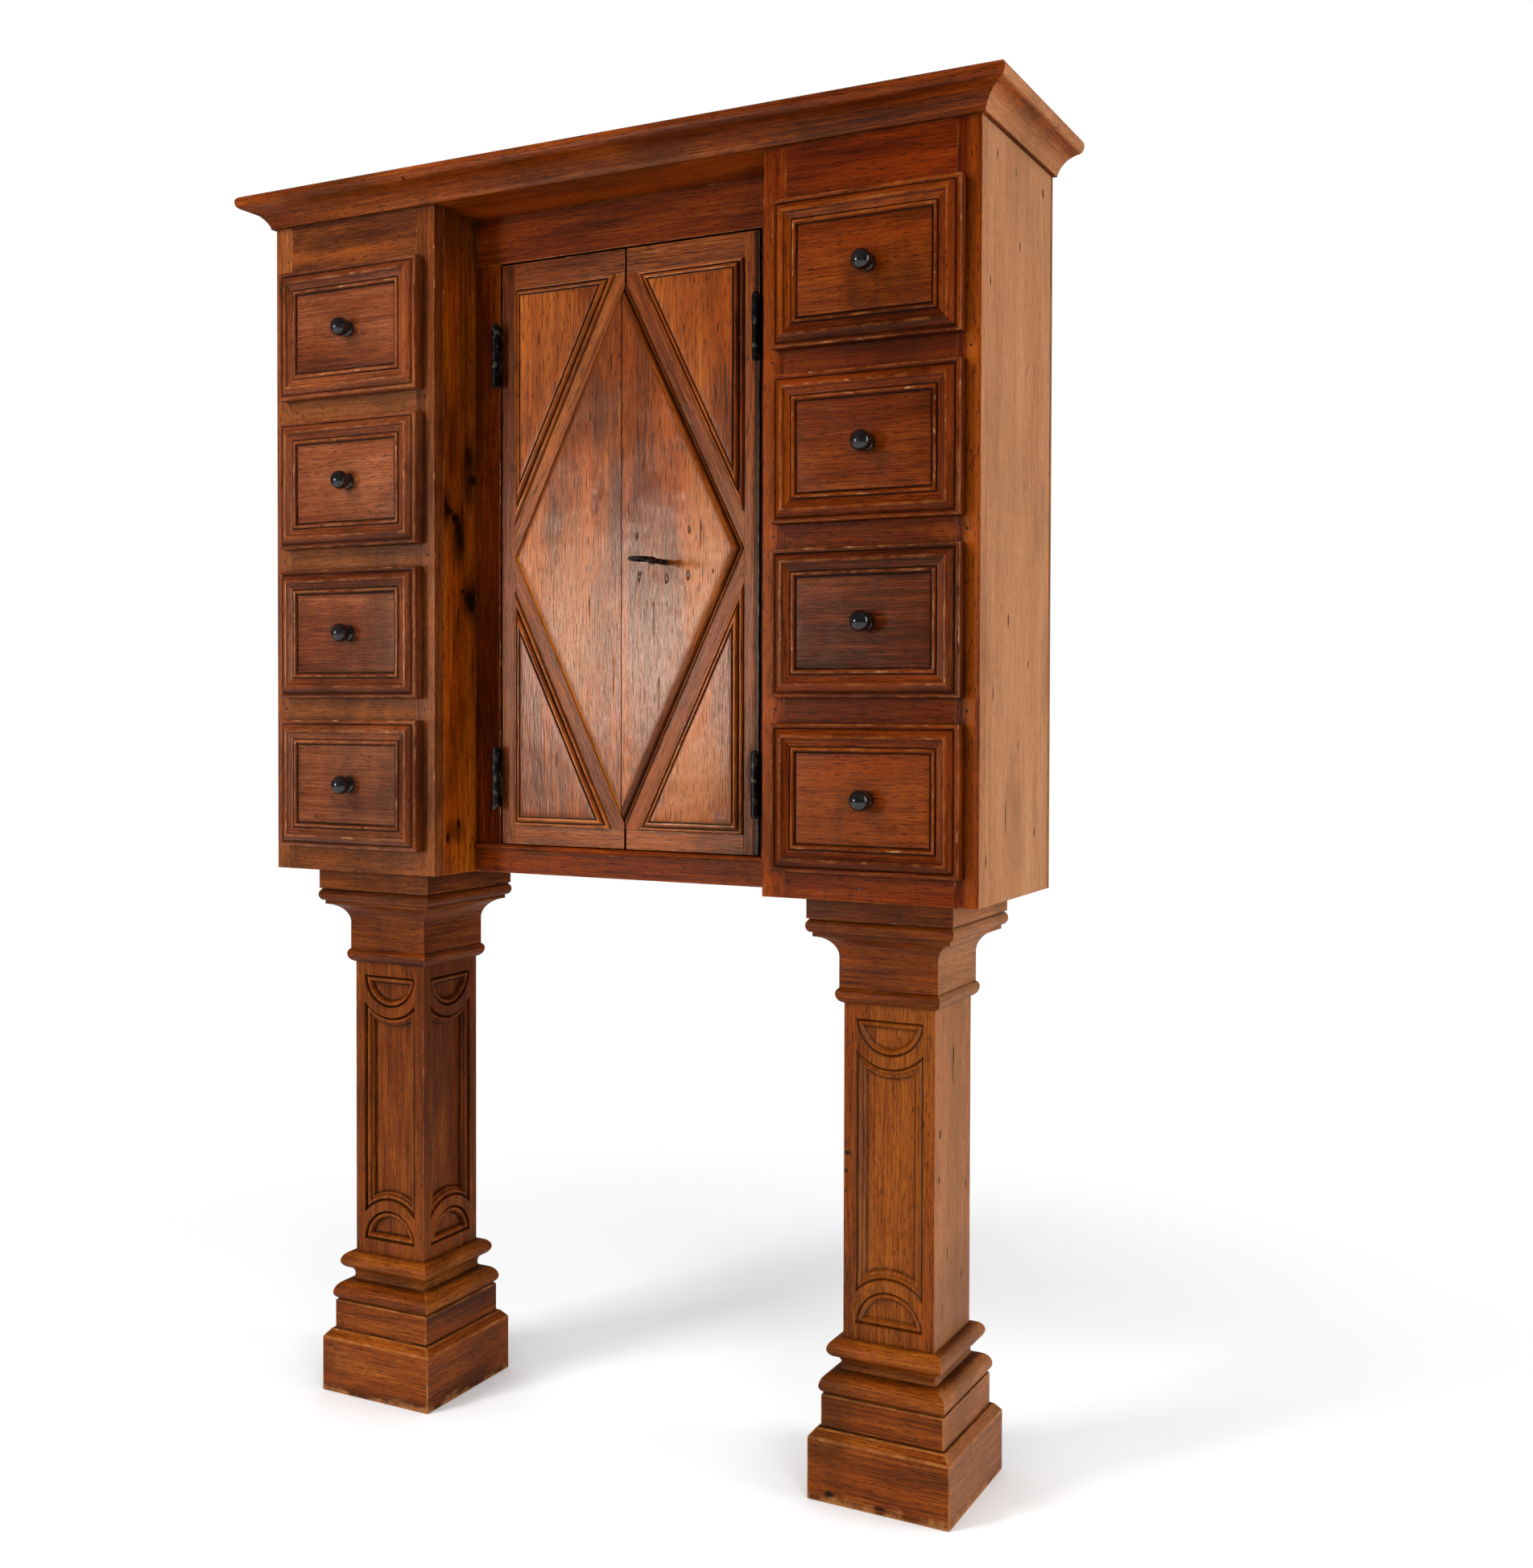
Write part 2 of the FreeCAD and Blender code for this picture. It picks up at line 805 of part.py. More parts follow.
def at_seam_mirrored(name, source):
    return mirrored(name, source, Vector(1, 0, 0), "seam_offset")


# A hinge: five knuckles on a pin, two on the door's plate and three on the jamb's
def make_hinge_patterns():
    pitch = "(hinge_length/5)"
    tall = "(" + pitch + " - knuckle_gap)"
    bore = rod(
        "hinge_bore", "pin_radius + pin_play", "hinge_length + 2*" + cutter,
        hinge_across, hinge_back, "-hinge_length/2 - " + cutter,
    )
    plate_front = "(" + hinge_back + " + knuckle_radius + knuckle_gap)"
    halves = {
        "door_half": (leaf_edge + " - hinge_leaf", (1, 3)),
        "jamb_half": (jamb_edge, (0, 2, 4)),
    }
    made = {}
    for name, (x, turns) in halves.items():
        members = [block(
            name + "_plate", x, plate_front, "-hinge_length/2", "hinge_leaf",
            "leaf_plate_depth", "hinge_length",
        )]
        for turn in turns:
            foot = "-hinge_length/2 + %d*%s + knuckle_gap/2" % (turn, pitch)
            members.append(
                rod(name + "_knuckle", "knuckle_radius", tall, hinge_across, hinge_back, foot)
            )
            members.append(block(
                name + "_wrap", x, hinge_back, foot, "hinge_leaf",
                "knuckle_radius + knuckle_gap + hinge_leaf", tall,
            ))
        made[name] = cut(name, fuse(name + "_whole", members), bore)
    pin = fuse("hinge_pin", [
        rod("pin_rod", "pin_radius", "hinge_length", hinge_across, hinge_back, "-hinge_length/2"),
        rod("pin_top", "knuckle_radius - 1", "pin_head", hinge_across, hinge_back, "hinge_length/2"),
        rod("pin_foot", "knuckle_radius - 1", "pin_head", hinge_across, hinge_back,
            "-hinge_length/2 - pin_head"),
    ])
    return made["door_half"], made["jamb_half"], pin


def make_doors():
    frame, panels = make_left_leaf()
    node("left_door_frame", frame)
    node("left_door_panels", panels)

    lock_back = "(niche_depth - lozenge_proud - " + cutter + ")"
    through = door_rear + " - " + lock_back + " + " + cutter
    keyhole = fuse("keyhole", [
        rod("keyhole_round", "key_shank + key_play", through, "key_across", lock_back,
            "key_level", into_case=True),
        block("keyhole_slot_cut", "key_across - keyhole_slot_width/2", lock_back,
              "key_level - keyhole_slot", "keyhole_slot_width", through, "keyhole_slot"),
    ])
    right_frame = [at_seam_mirrored("right_" + piece.Name, piece) for piece in frame]
    right_frame[0] = cut("right_backing_keyed", right_frame[0], keyhole)
    right_panels = [at_seam_mirrored("right_" + piece.Name, piece) for piece in panels]
    right_panels[2] = cut("right_lozenge_keyed", right_panels[2], keyhole)
    node("right_door_frame", right_frame)
    node("right_door_panels", right_panels)

    door_half, jamb_half, pin = make_hinge_patterns()
    levels = ("hinge_lower", "hinge_upper")
    left_door = [group("left_door_hinge", [door_half], z=level) for level in levels]
    jamb = [group("left_jamb_hinge", [jamb_half, pin], z=level) for level in levels]
    right_door = [at_seam_mirrored("right_door_hinge", piece) for piece in left_door]
    right_jamb = [at_seam_mirrored("right_jamb_hinge", piece) for piece in jamb]
    node("left_door_hinges", left_door)
    node("right_door_hinges", right_door)
    node("jamb_hinges", jamb + right_jamb)


# Lock behind the right leaf, its key, and the bolt that holds the left leaf

def make_lock():
    x = "(key_across - lock_start)"
    low = "(key_level - lock_below)"
    tall = "(lock_below + lock_above)"
    shell = block("lock_shell", x, door_rear, low, "lock_width", "lock_depth", tall)
    hollow = block(
        "lock_hollow", x + " + lock_wall", door_rear + " - " + cutter, low + " + lock_wall",
        "lock_width - 2*lock_wall", "lock_depth - lock_wall + " + cutter, tall + " - 2*lock_wall",
    )
    bolt_low = "(key_level + lock_bolt_rise)"
    slot = block(
        "lock_slot", x + " - " + cutter, door_rear + " + lock_bolt_set - bolt_play",
        bolt_low + " - bolt_play", "2*" + cutter, "lock_bolt_thick + 2*bolt_play",
        "lock_bolt_height + 2*bolt_play",
    )
    case = cut("lock_box", cut("lock_open", shell, hollow), slot)
    node("lock_case", [case])
    bolt = block(
        "lock_bar", "key_across - lock_bolt_tip", door_rear + " + lock_bolt_set", bolt_low,
        "lock_bolt_length", "lock_bolt_thick", "lock_bolt_height",
    )
    node("lock_bolt", [bolt])

    face = "(niche_depth - lozenge_proud)"
    bow_front = "(" + face + " - key_reach + key_bow + key_bow_wire)"
    bow_back = "(" + bow_front + " + key_bow_straight)"
    shank_front = "(" + bow_back + " + key_bow)"
    shank_end = "(" + door_rear + " + lock_depth - 2*lock_wall)"
    bow = []
    for y, turned in ((bow_front, 180), (bow_back, 0)):
        half_ring = doc.addObject("Part::Torus", "key_half_ring")
        bind(half_ring, Radius1="key_bow", Radius2="key_bow_wire")
        half_ring.Angle3 = 180
        half_ring.Placement.Rotation = Rotation(Vector(0, 0, 1), turned)
        bow.append(moved(half_ring, "key_across", y, "key_level"))
    for x in ("key_across - key_bow", "key_across + key_bow"):
        bow.append(
            rod("key_bow_side", "key_bow_wire", "key_bow_straight", x, bow_front,
                "key_level", into_case=True)
        )
    key = fuse("key_whole", bow + [
        rod("key_stem", "key_shank", shank_end + " - " + shank_front, "key_across",
            shank_front, "key_level", into_case=True),
        rod("key_ring_collar", "key_collar", "key_collar_width", "key_across",
            face + " - key_collar_reach", "key_level", into_case=True),
        block("key_bit", "key_across", shank_end + " - key_bit_width - lock_wall",
              "key_level - key_bit_thick/2", "key_shank + key_bit_length", "key_bit_width",
              "key_bit_thick"),
    ])
    node("door_key", [key])


def make_door_bolt():
    across = "(" + meeting_edge + " - door_bolt_inset)"
    back = "(" + door_rear + " + staple_depth/2)"
    top = "(" + door_high + " - door_bolt_drop)"
    foot = "(" + top + " - door_bolt_length)"
    bar = fuse("door_bolt_whole", [
        rod("door_bolt_bar", "door_bolt_radius", "door_bolt_length", across, back, foot),
        rod("door_bolt_grip", "door_bolt_radius", "door_bolt_handle", across, back,
            foot + " + door_bolt_length/2", into_case=True),
    ])
    node("left_door_bolt", [bar])
    staples = []
    for level in (foot + " + staple_inset", top + " - staple_inset"):
        loop_block = block(
            "staple_block", across + " - staple_width/2", door_rear, level + " - staple_height/2",
            "staple_width", "staple_depth", "staple_height",
        )
        hole = rod(
            "staple_hole", "door_bolt_radius + bolt_play", "staple_height + 2*" + cutter,
            across, back, level + " - staple_height/2 - " + cutter,
        )
        staples.append(cut("staple", loop_block, hole))
    node("bolt_staples", staples)


# Drawers, built about the middle of their bank with the front's foot at height 0

def mould_section(inward, proud):
    base = "(front_gap + front_board)"
    points = [
        ("0", "0"),
        ("0", "mould_edge"),
        ("mould_fillet", "mould_edge"),
        ("(mould_fillet + ovolo_width)", "mould_crest", "ovolo_radius"),
        ("(mould_fillet + ovolo_width + mould_drop)", "mould_groove"),
        ("(mould_fillet + ovolo_width + mould_drop + groove_width)", "mould_groove"),
    ]
    bead = "(mould_fillet + ovolo_width + mould_drop + groove_width)"
    points += [
        ("(" + bead + " + bead_width/2)", "bead_level", "bead_radius"),
        ("(" + bead + " + bead_width)", "mould_groove", "bead_radius"),
        ("(mould_width - lip_width - mould_drop - groove_width/6)", "mould_groove"),
        ("(mould_width - lip_width - mould_drop - groove_width/6)", "lip_level"),
        ("(mould_width - mould_drop)", "lip_level"),
        ("mould_width", "field_proud"),
        ("mould_width", "0"),
    ]
    return [
        (inward(point[0]), proud(base + " + " + point[1])) + point[2:] for point in points
    ]


def make_front_pattern():
    half = "(front_width/2)"
    face = "(front_gap + front_board)"
    board = block(
        "front_plank", "-" + half, negative(face), "0", "front_width", "front_board", "front_height"
    )
    field = block(
        "front_field", "-" + half + " + mould_width", negative(field_face), "mould_width",
        "front_width - 2*mould_width", "field_proud", "front_height - 2*mould_width",
    )
    hole = rod(
        "knob_hole", "knob_shank + knob_play", field_face + " + 2*" + cutter,
        "knob_offset", negative(field_face + " + " + cutter), "front_height/2", into_case=True,
    )
    plank = cut("front_drilled", fuse("front_whole", [board, field]), hole)

    top_corners = with_sides(
        mould_section(lambda u: "front_height - " + u, lambda w: negative(w)), (1, 1, 1)
    )
    flat = [(corner[1], corner[0]) + corner[2:] for corner in top_corners]
    top = padded("mould_top", "YZ_Plane", flat, "front_width", symmetric=True)
    past = "(mould_width + " + cutter + ")"
    ends = []
    for sign in ("", "-"):
        ends.append([
            (sign + "(" + half + " + " + cutter + ")", "front_height + " + cutter),
            (sign + "(" + half + " - " + past + ")", "front_height - " + past),
            (sign + "(" + half + " + " + cutter + ")", "front_height - " + past),
        ])
    pocketed(top, "XZ_Plane", ends)
    side_corners = with_sides(
        mould_section(lambda u: half + " - " + u, lambda w: negative(w)), (-1, -1, -1)
    )
    side = padded("mould_side", "XY_Plane", side_corners, "front_height")
    pocketed(side, "XZ_Plane", [
        [
            (half + " + " + cutter, "-" + cutter),
            (half + " - " + past, past),
            (half + " - " + past, "-" + cutter),
        ],
        [
            (half + " + " + cutter, "front_height + " + cutter),
            (half + " - " + past, "front_height - " + past),
            (half + " - " + past, "front_height + " + cutter),
        ],
    ])
    foot = mirrored("mould_foot", top, Vector(0, 0, 1), z="front_height/2")
    other = mirrored("mould_other_side", side, Vector(1, 0, 0))
    return [plank, top, foot, side, other]


def make_box_pattern():
    wide = "(" + box_half + " - box_side)"
    pieces = []
    for x in (negative(box_half), wide):
        pieces.append(block(
            "drawer_side", x, "-front_gap", box_foot, "box_side",
            "box_length + front_gap", box_height,
        ))
    bottom_low = "(" + box_foot + " + box_bottom_rise)"
    pieces.append(block(
        "drawer_bottom", negative(wide), "-front_gap", bottom_low, "2*" + wide,
        "box_length + front_gap", "box_bottom",
    ))
    back_low = "(" + bottom_low + " + box_bottom)"
    pieces.append(block(
        "drawer_back", negative(wide), "box_length - box_side", back_low, "2*" + wide,
        "box_side", box_foot + " + " + box_height + " - " + back_low,
    ))
    return pieces


# Turned knob: shank, domed base and ball, as one outline turned about its own axis
def make_knob_pattern():
    body = doc.addObject("PartDesign::Body", "knob_pattern")
    neck_meet = "sqrt(knob_head^2 - knob_neck^2)"
    corners = [
        ("0", "-knob_shank_length"),
        ("knob_shank", "-knob_shank_length"),
        ("knob_shank", "0"),
        ("knob_base", "0"),
        ("knob_neck", "knob_base_depth", "knob_base_round", 1),
        ("knob_neck", "knob_centre - " + neck_meet),
        ("knob_head", "knob_centre", "knob_head", 1),
        ("0", "knob_centre + knob_head", "knob_head", 1),
    ]
    sketch = sketched(body, "XZ_Plane", [corners])
    turn = body.newObject("PartDesign::Revolution", "knob_turned")
    turn.Profile = sketch
    turn.ReferenceAxis = (sketch, ["V_Axis"])
    turn.Angle = 360
    return body


def make_drawers():
    front = make_front_pattern()
    box = make_box_pattern()
    knob = make_knob_pattern()
    upright = group("knob_turned_forward", [knob])
    upright.Placement.Rotation = Rotation(Vector(1, 0, 0), 90)
    moved(upright, "knob_offset", negative(field_face), "front_height/2")
    rows = int(value("drawer_rows"))
    for side, letter in ((-1, "l"), (1, "r")):
        for index in range(rows):
            name = "drawer_%s%d" % (letter, rows - index)
            x = "%d*%s" % (side, bank_centre)
            z = leg_top + " + front_lowest + %d*front_pitch" % index
            node(name + "_front", front, x, "0", z)
            node(name + "_box", box, x, "0", z)
            node(name + "_knob", [upright], x, "0", z)


# Legs, built about their own axis from the floor up

def make_plinth():
    step = "(plinth_height + plinth_bevel)"
    return square_section("plinth", [
        ("plinth_width/2", "0"),
        ("plinth_width/2", "plinth_height"),
        ("(plinth_width/2 - plinth_bevel_in)", step),
        ("block_width/2", step),
        ("block_width/2", step + " + block_height"),
    ], "(plinth_width/2)")


def make_base():
    low = "(base_seat_rise)"
    high = "(base_seat_rise + low_torus_height + scotia_step + scotia_height)"
    return square_section("leg_base", [
        ("base_seat", "0"),
        ("base_seat", low),
        ("low_torus", low + " + low_torus_rise", "low_torus_lower_radius", 1),
        ("low_torus_top", low + " + low_torus_height", "low_torus_upper_radius", 1),
        ("scotia_foot", low + " + low_torus_height + scotia_step"),
        ("scotia_top", high, "scotia_radius", -1),
        ("high_torus", high + " + high_torus_rise", "high_torus_lower_radius", 1),
        ("base_top", "base_height", "high_torus_upper_radius", 1),
    ], "low_torus")


def make_capital():
    rise = "(astragal_height + neck_height + cavetto_height)"
    bead = "(capital_height - bead_rise - capital_bead_height)"
    return square_section("capital", [
        ("shaft_width/2", "0"),
        ("astragal", "astragal_rise", "astragal_lower_radius", 1),
        ("neck", "astragal_height", "astragal_upper_radius", 1),
        ("neck", "(astragal_height + neck_height)"),
        ("fillet", rise, "cavetto_radius", -1),
        ("fillet", rise + " + fillet_height"),
        ("bead_seat", bead),
        ("capital_bead", bead + " + capital_bead_height/2", "capital_bead_radius", 1),
        ("bead_seat", bead + " + capital_bead_height", "capital_bead_radius", 1),
        ("bead_seat", "capital_height"),
    ], "capital_bead")


def carved_loops():
    loops = []
    for inset in ("0", "carve_line"):
        half = "(carve_half - " + inset + ")"
        drop = "(moon_drop - 1.6*" + inset + ")"
        radius = "(moon_radius - " + inset + ")"
        loops.append([
            ("-" + half, "(moon_high - " + inset + "/2)"),
            (half, "(moon_high - " + inset + "/2)"),
        ])
        loops.append([
            (half, "(moon_low + " + inset + "/2)"),
            ("-" + half, "(moon_low + " + inset + "/2)"),
        ])
        for pair in loops[-2:]:
            pair[0] = pair[0] + (radius + " + " + drop + "/50", -1)
        sunk = "(panel_high - " + inset + ")"
        risen = "(panel_low + " + inset + ")"
        loops.append([
            ("-" + half, risen),
            (half, risen, "panel_arc_radius", -1),
            (half, sunk),
            ("-" + half, sunk, "panel_arc_radius", -1),
        ])
    return loops


def make_shaft():
    half = "(shaft_width/2)"
    body = padded("leg_shaft", "XZ_Plane", [
        ("-" + half, "0"), (half, "0"), (half, "shaft_height"), ("-" + half, "shaft_height"),
    ], "shaft_width", symmetric=True)
    pocketed(body, "XZ_Plane", carved_loops(), "carve_depth", back=half)
    pocketed(body, "YZ_Plane", carved_loops(), "carve_depth", back=half)
    return body


def make_legs():
    plinth = make_plinth()
    base = make_base()
    shaft = make_shaft()
    capital = make_capital()
    abacus = fuse("abacus", [
        block("abacus_slab", "-abacus_width/2", "-abacus_width/2", "0", "abacus_width",
              "abacus_width", "abacus_height"),
        rod("spigot", "spigot_radius", "abacus_height + spigot_height", "0", "0", "0"),
    ])
    top = group("capital_pattern", [capital, group("abacus_placed", [abacus], z="capital_height")])
    other_shaft = mirrored("other_shaft", shaft, Vector(1, 0, 0))
    base_low = "plinth_height + plinth_bevel + block_height"
    shaft_low = base_low + " + base_height"
    capital_low = shaft_low + " + shaft_height"
    for leg, column in (("left_leg", shaft), ("right_leg", other_shaft)):
        x = leg + "_across"
        y = leg + "_back"
        node(leg + "_plinth", [plinth], x, y, "0")
        node(leg + "_base", [base], x, y, base_low)
        node(leg + "_shaft", [column], x, y, shaft_low)
        node(leg + "_capital", [top], x, y, capital_low)


make_panels()
make_back()
make_floors()
make_face_frames()
make_runners()
make_cornice()
make_niche()
make_shelves()
make_doors()
make_lock()
make_door_bolt()
make_drawers()
make_legs()
doc.recompute()

# Nothing is written unless every object is sound
for thing in doc.Objects:
    if "Invalid" in thing.State or "Error" in thing.State:
        raise RuntimeError(thing.Name + " could not be built: " + str(thing.State))
for piece in nodes:
    if piece.Shape.isNull() or not piece.Shape.isValid():
        raise RuntimeError(piece.Label + " has no sound shape")

os.makedirs("parts", exist_ok=True)
for piece in nodes:
    piece.Shape.exportStep("parts/" + piece.Label + ".step")
print(len(nodes), "sub-parts,", sum(len(piece.Shape.Solids) for piece in nodes), "solids")
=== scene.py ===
import json
import math
import random

import bmesh
import bpy
import numpy as np
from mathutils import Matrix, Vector, noise


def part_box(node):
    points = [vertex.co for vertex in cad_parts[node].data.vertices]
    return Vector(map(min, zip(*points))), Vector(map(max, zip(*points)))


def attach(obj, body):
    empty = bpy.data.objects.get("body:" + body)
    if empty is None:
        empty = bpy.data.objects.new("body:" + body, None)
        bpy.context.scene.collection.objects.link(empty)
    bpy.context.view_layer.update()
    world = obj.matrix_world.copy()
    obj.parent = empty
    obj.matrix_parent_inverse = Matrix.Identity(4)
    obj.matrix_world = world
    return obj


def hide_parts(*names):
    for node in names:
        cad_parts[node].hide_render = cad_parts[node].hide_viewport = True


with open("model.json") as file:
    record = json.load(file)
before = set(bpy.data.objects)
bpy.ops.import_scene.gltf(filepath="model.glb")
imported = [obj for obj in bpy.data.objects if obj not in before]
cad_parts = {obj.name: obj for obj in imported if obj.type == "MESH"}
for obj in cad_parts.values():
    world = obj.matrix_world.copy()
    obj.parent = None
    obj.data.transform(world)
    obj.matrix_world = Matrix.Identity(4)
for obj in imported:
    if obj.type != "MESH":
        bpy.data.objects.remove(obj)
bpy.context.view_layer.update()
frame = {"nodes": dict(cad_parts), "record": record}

mm = 0.001
nodes = frame["nodes"]
nodeBody = {name: body for body, names in frame["record"]["behaviour"]["bodies"].items() for name in names}


def linear(red, green, blue):
    def one(c):
        c = c / 255
        return c / 12.92 if c <= 0.04045 else ((c + 0.055) / 1.055) ** 2.4
    return (one(red), one(green), one(blue), 1.0)


# Small helpers for shader trees

class Tree:
    def __init__(self, name):
        self.material = bpy.data.materials.new(name)
        self.material.use_nodes = True
        self.tree = self.material.node_tree
        self.shader = self.tree.nodes["Principled BSDF"]

    def node(self, kind, **settings):
        made = self.tree.nodes.new("ShaderNode" + kind)
        for key, value in settings.items():
            setattr(made, key, value)
        return made

    def join(self, source, target):
        self.tree.links.new(source, target)

    def put(self, value, socket):
        if isinstance(value, bpy.types.NodeSocket):
            self.join(value, socket)
        else:
            socket.default_value = value

    def maths(self, operation, first, second=0.0, third=0.0):
        made = self.node("Math", operation=operation)
        for value, socket in zip((first, second, third), made.inputs):
            self.put(value, socket)
        return made.outputs[0]

    # A weighted sum of (value, weight) pairs on top of a start
    def total(self, parts, start=0.0):
        for value, weight in parts:
            start = self.maths("MULTIPLY_ADD", value, weight, start)
        return start

    def attribute(self, name, output="Fac"):
        return self.node("Attribute", attribute_name=name).outputs[output]

    def scaled(self, vector, factors):
        made = self.node("VectorMath", operation="MULTIPLY")
        self.put(vector, made.inputs[0])
        made.inputs[1].default_value = factors
        return made.outputs[0]

    # The distance from a spot, in half sizes of the spot
    def distance(self, place, spot, half):
        away = self.node("VectorMath", operation="SUBTRACT")
        self.join(place, away.inputs[0])
        away.inputs[1].default_value = [c * mm for c in spot]
        span = self.node("VectorMath", operation="LENGTH")
        self.join(self.scaled(away.outputs[0], [1 / (h * mm) for h in half]), span.inputs[0])
        return span.outputs["Value"]

    def noise(self, vector, factors, detail, roughness, distortion=0.0):
        made = self.node("TexNoise")
        self.join(self.scaled(vector, factors), made.inputs["Vector"])
        made.inputs["Scale"].default_value = 1.0
        made.inputs["Detail"].default_value = detail
        made.inputs["Roughness"].default_value = roughness
        made.inputs["Distortion"].default_value = distortion
        return made.outputs["Fac"]

    def spread(self, value, low, high, toLow=0.0, toHigh=1.0):
        made = self.node("MapRange", interpolation_type="SMOOTHSTEP")
        self.put(value, made.inputs["Value"])
        made.inputs["From Min"].default_value = low
        made.inputs["From Max"].default_value = high
        made.inputs["To Min"].default_value = toLow
        made.inputs["To Max"].default_value = toHigh
        return made.outputs["Result"]

    # Small chips, one in each cell whose own number is above the least one
    def chips(self, vector, factors, least, size, edge, strength):
        cells = self.node("TexVoronoi", feature="F1", distance="EUCLIDEAN")
        self.join(self.scaled(vector, factors), cells.inputs["Vector"])
        cells.inputs["Scale"].default_value = 1.0
        sizes = self.spread(cells.outputs["Color"], least, 1.0, 0.0, size)
        inside = self.maths("SUBTRACT", sizes, cells.outputs["Distance"])
        return self.spread(inside, 0.0, edge, 0, strength)

    def bump(self, height, strength, distance):
        made = self.node("Bump")
        made.inputs["Strength"].default_value = strength
        made.inputs["Distance"].default_value = distance
        self.join(height, made.inputs["Height"])
        self.join(made.outputs["Normal"], self.shader.inputs["Normal"])

    def ramp(self, value, stops):
        made = self.node("ValToRGB")
        self.put(value, made.inputs["Fac"])
        elements = made.color_ramp.elements
        while len(elements) < len(stops):
            elements.new(0.5)
        for element, (place, colour) in zip(elements, stops):
            element.position = place
            element.color = colour
        return made.outputs["Color"]

    def blend(self, amount, first, second):
        made = self.node("Mix", data_type="RGBA")
        made.clamp_factor = True
        self.put(amount, made.inputs["Factor"])
        self.put(first, made.inputs["A"])
        self.put(second, made.inputs["B"])
        return made.outputs["Result"]


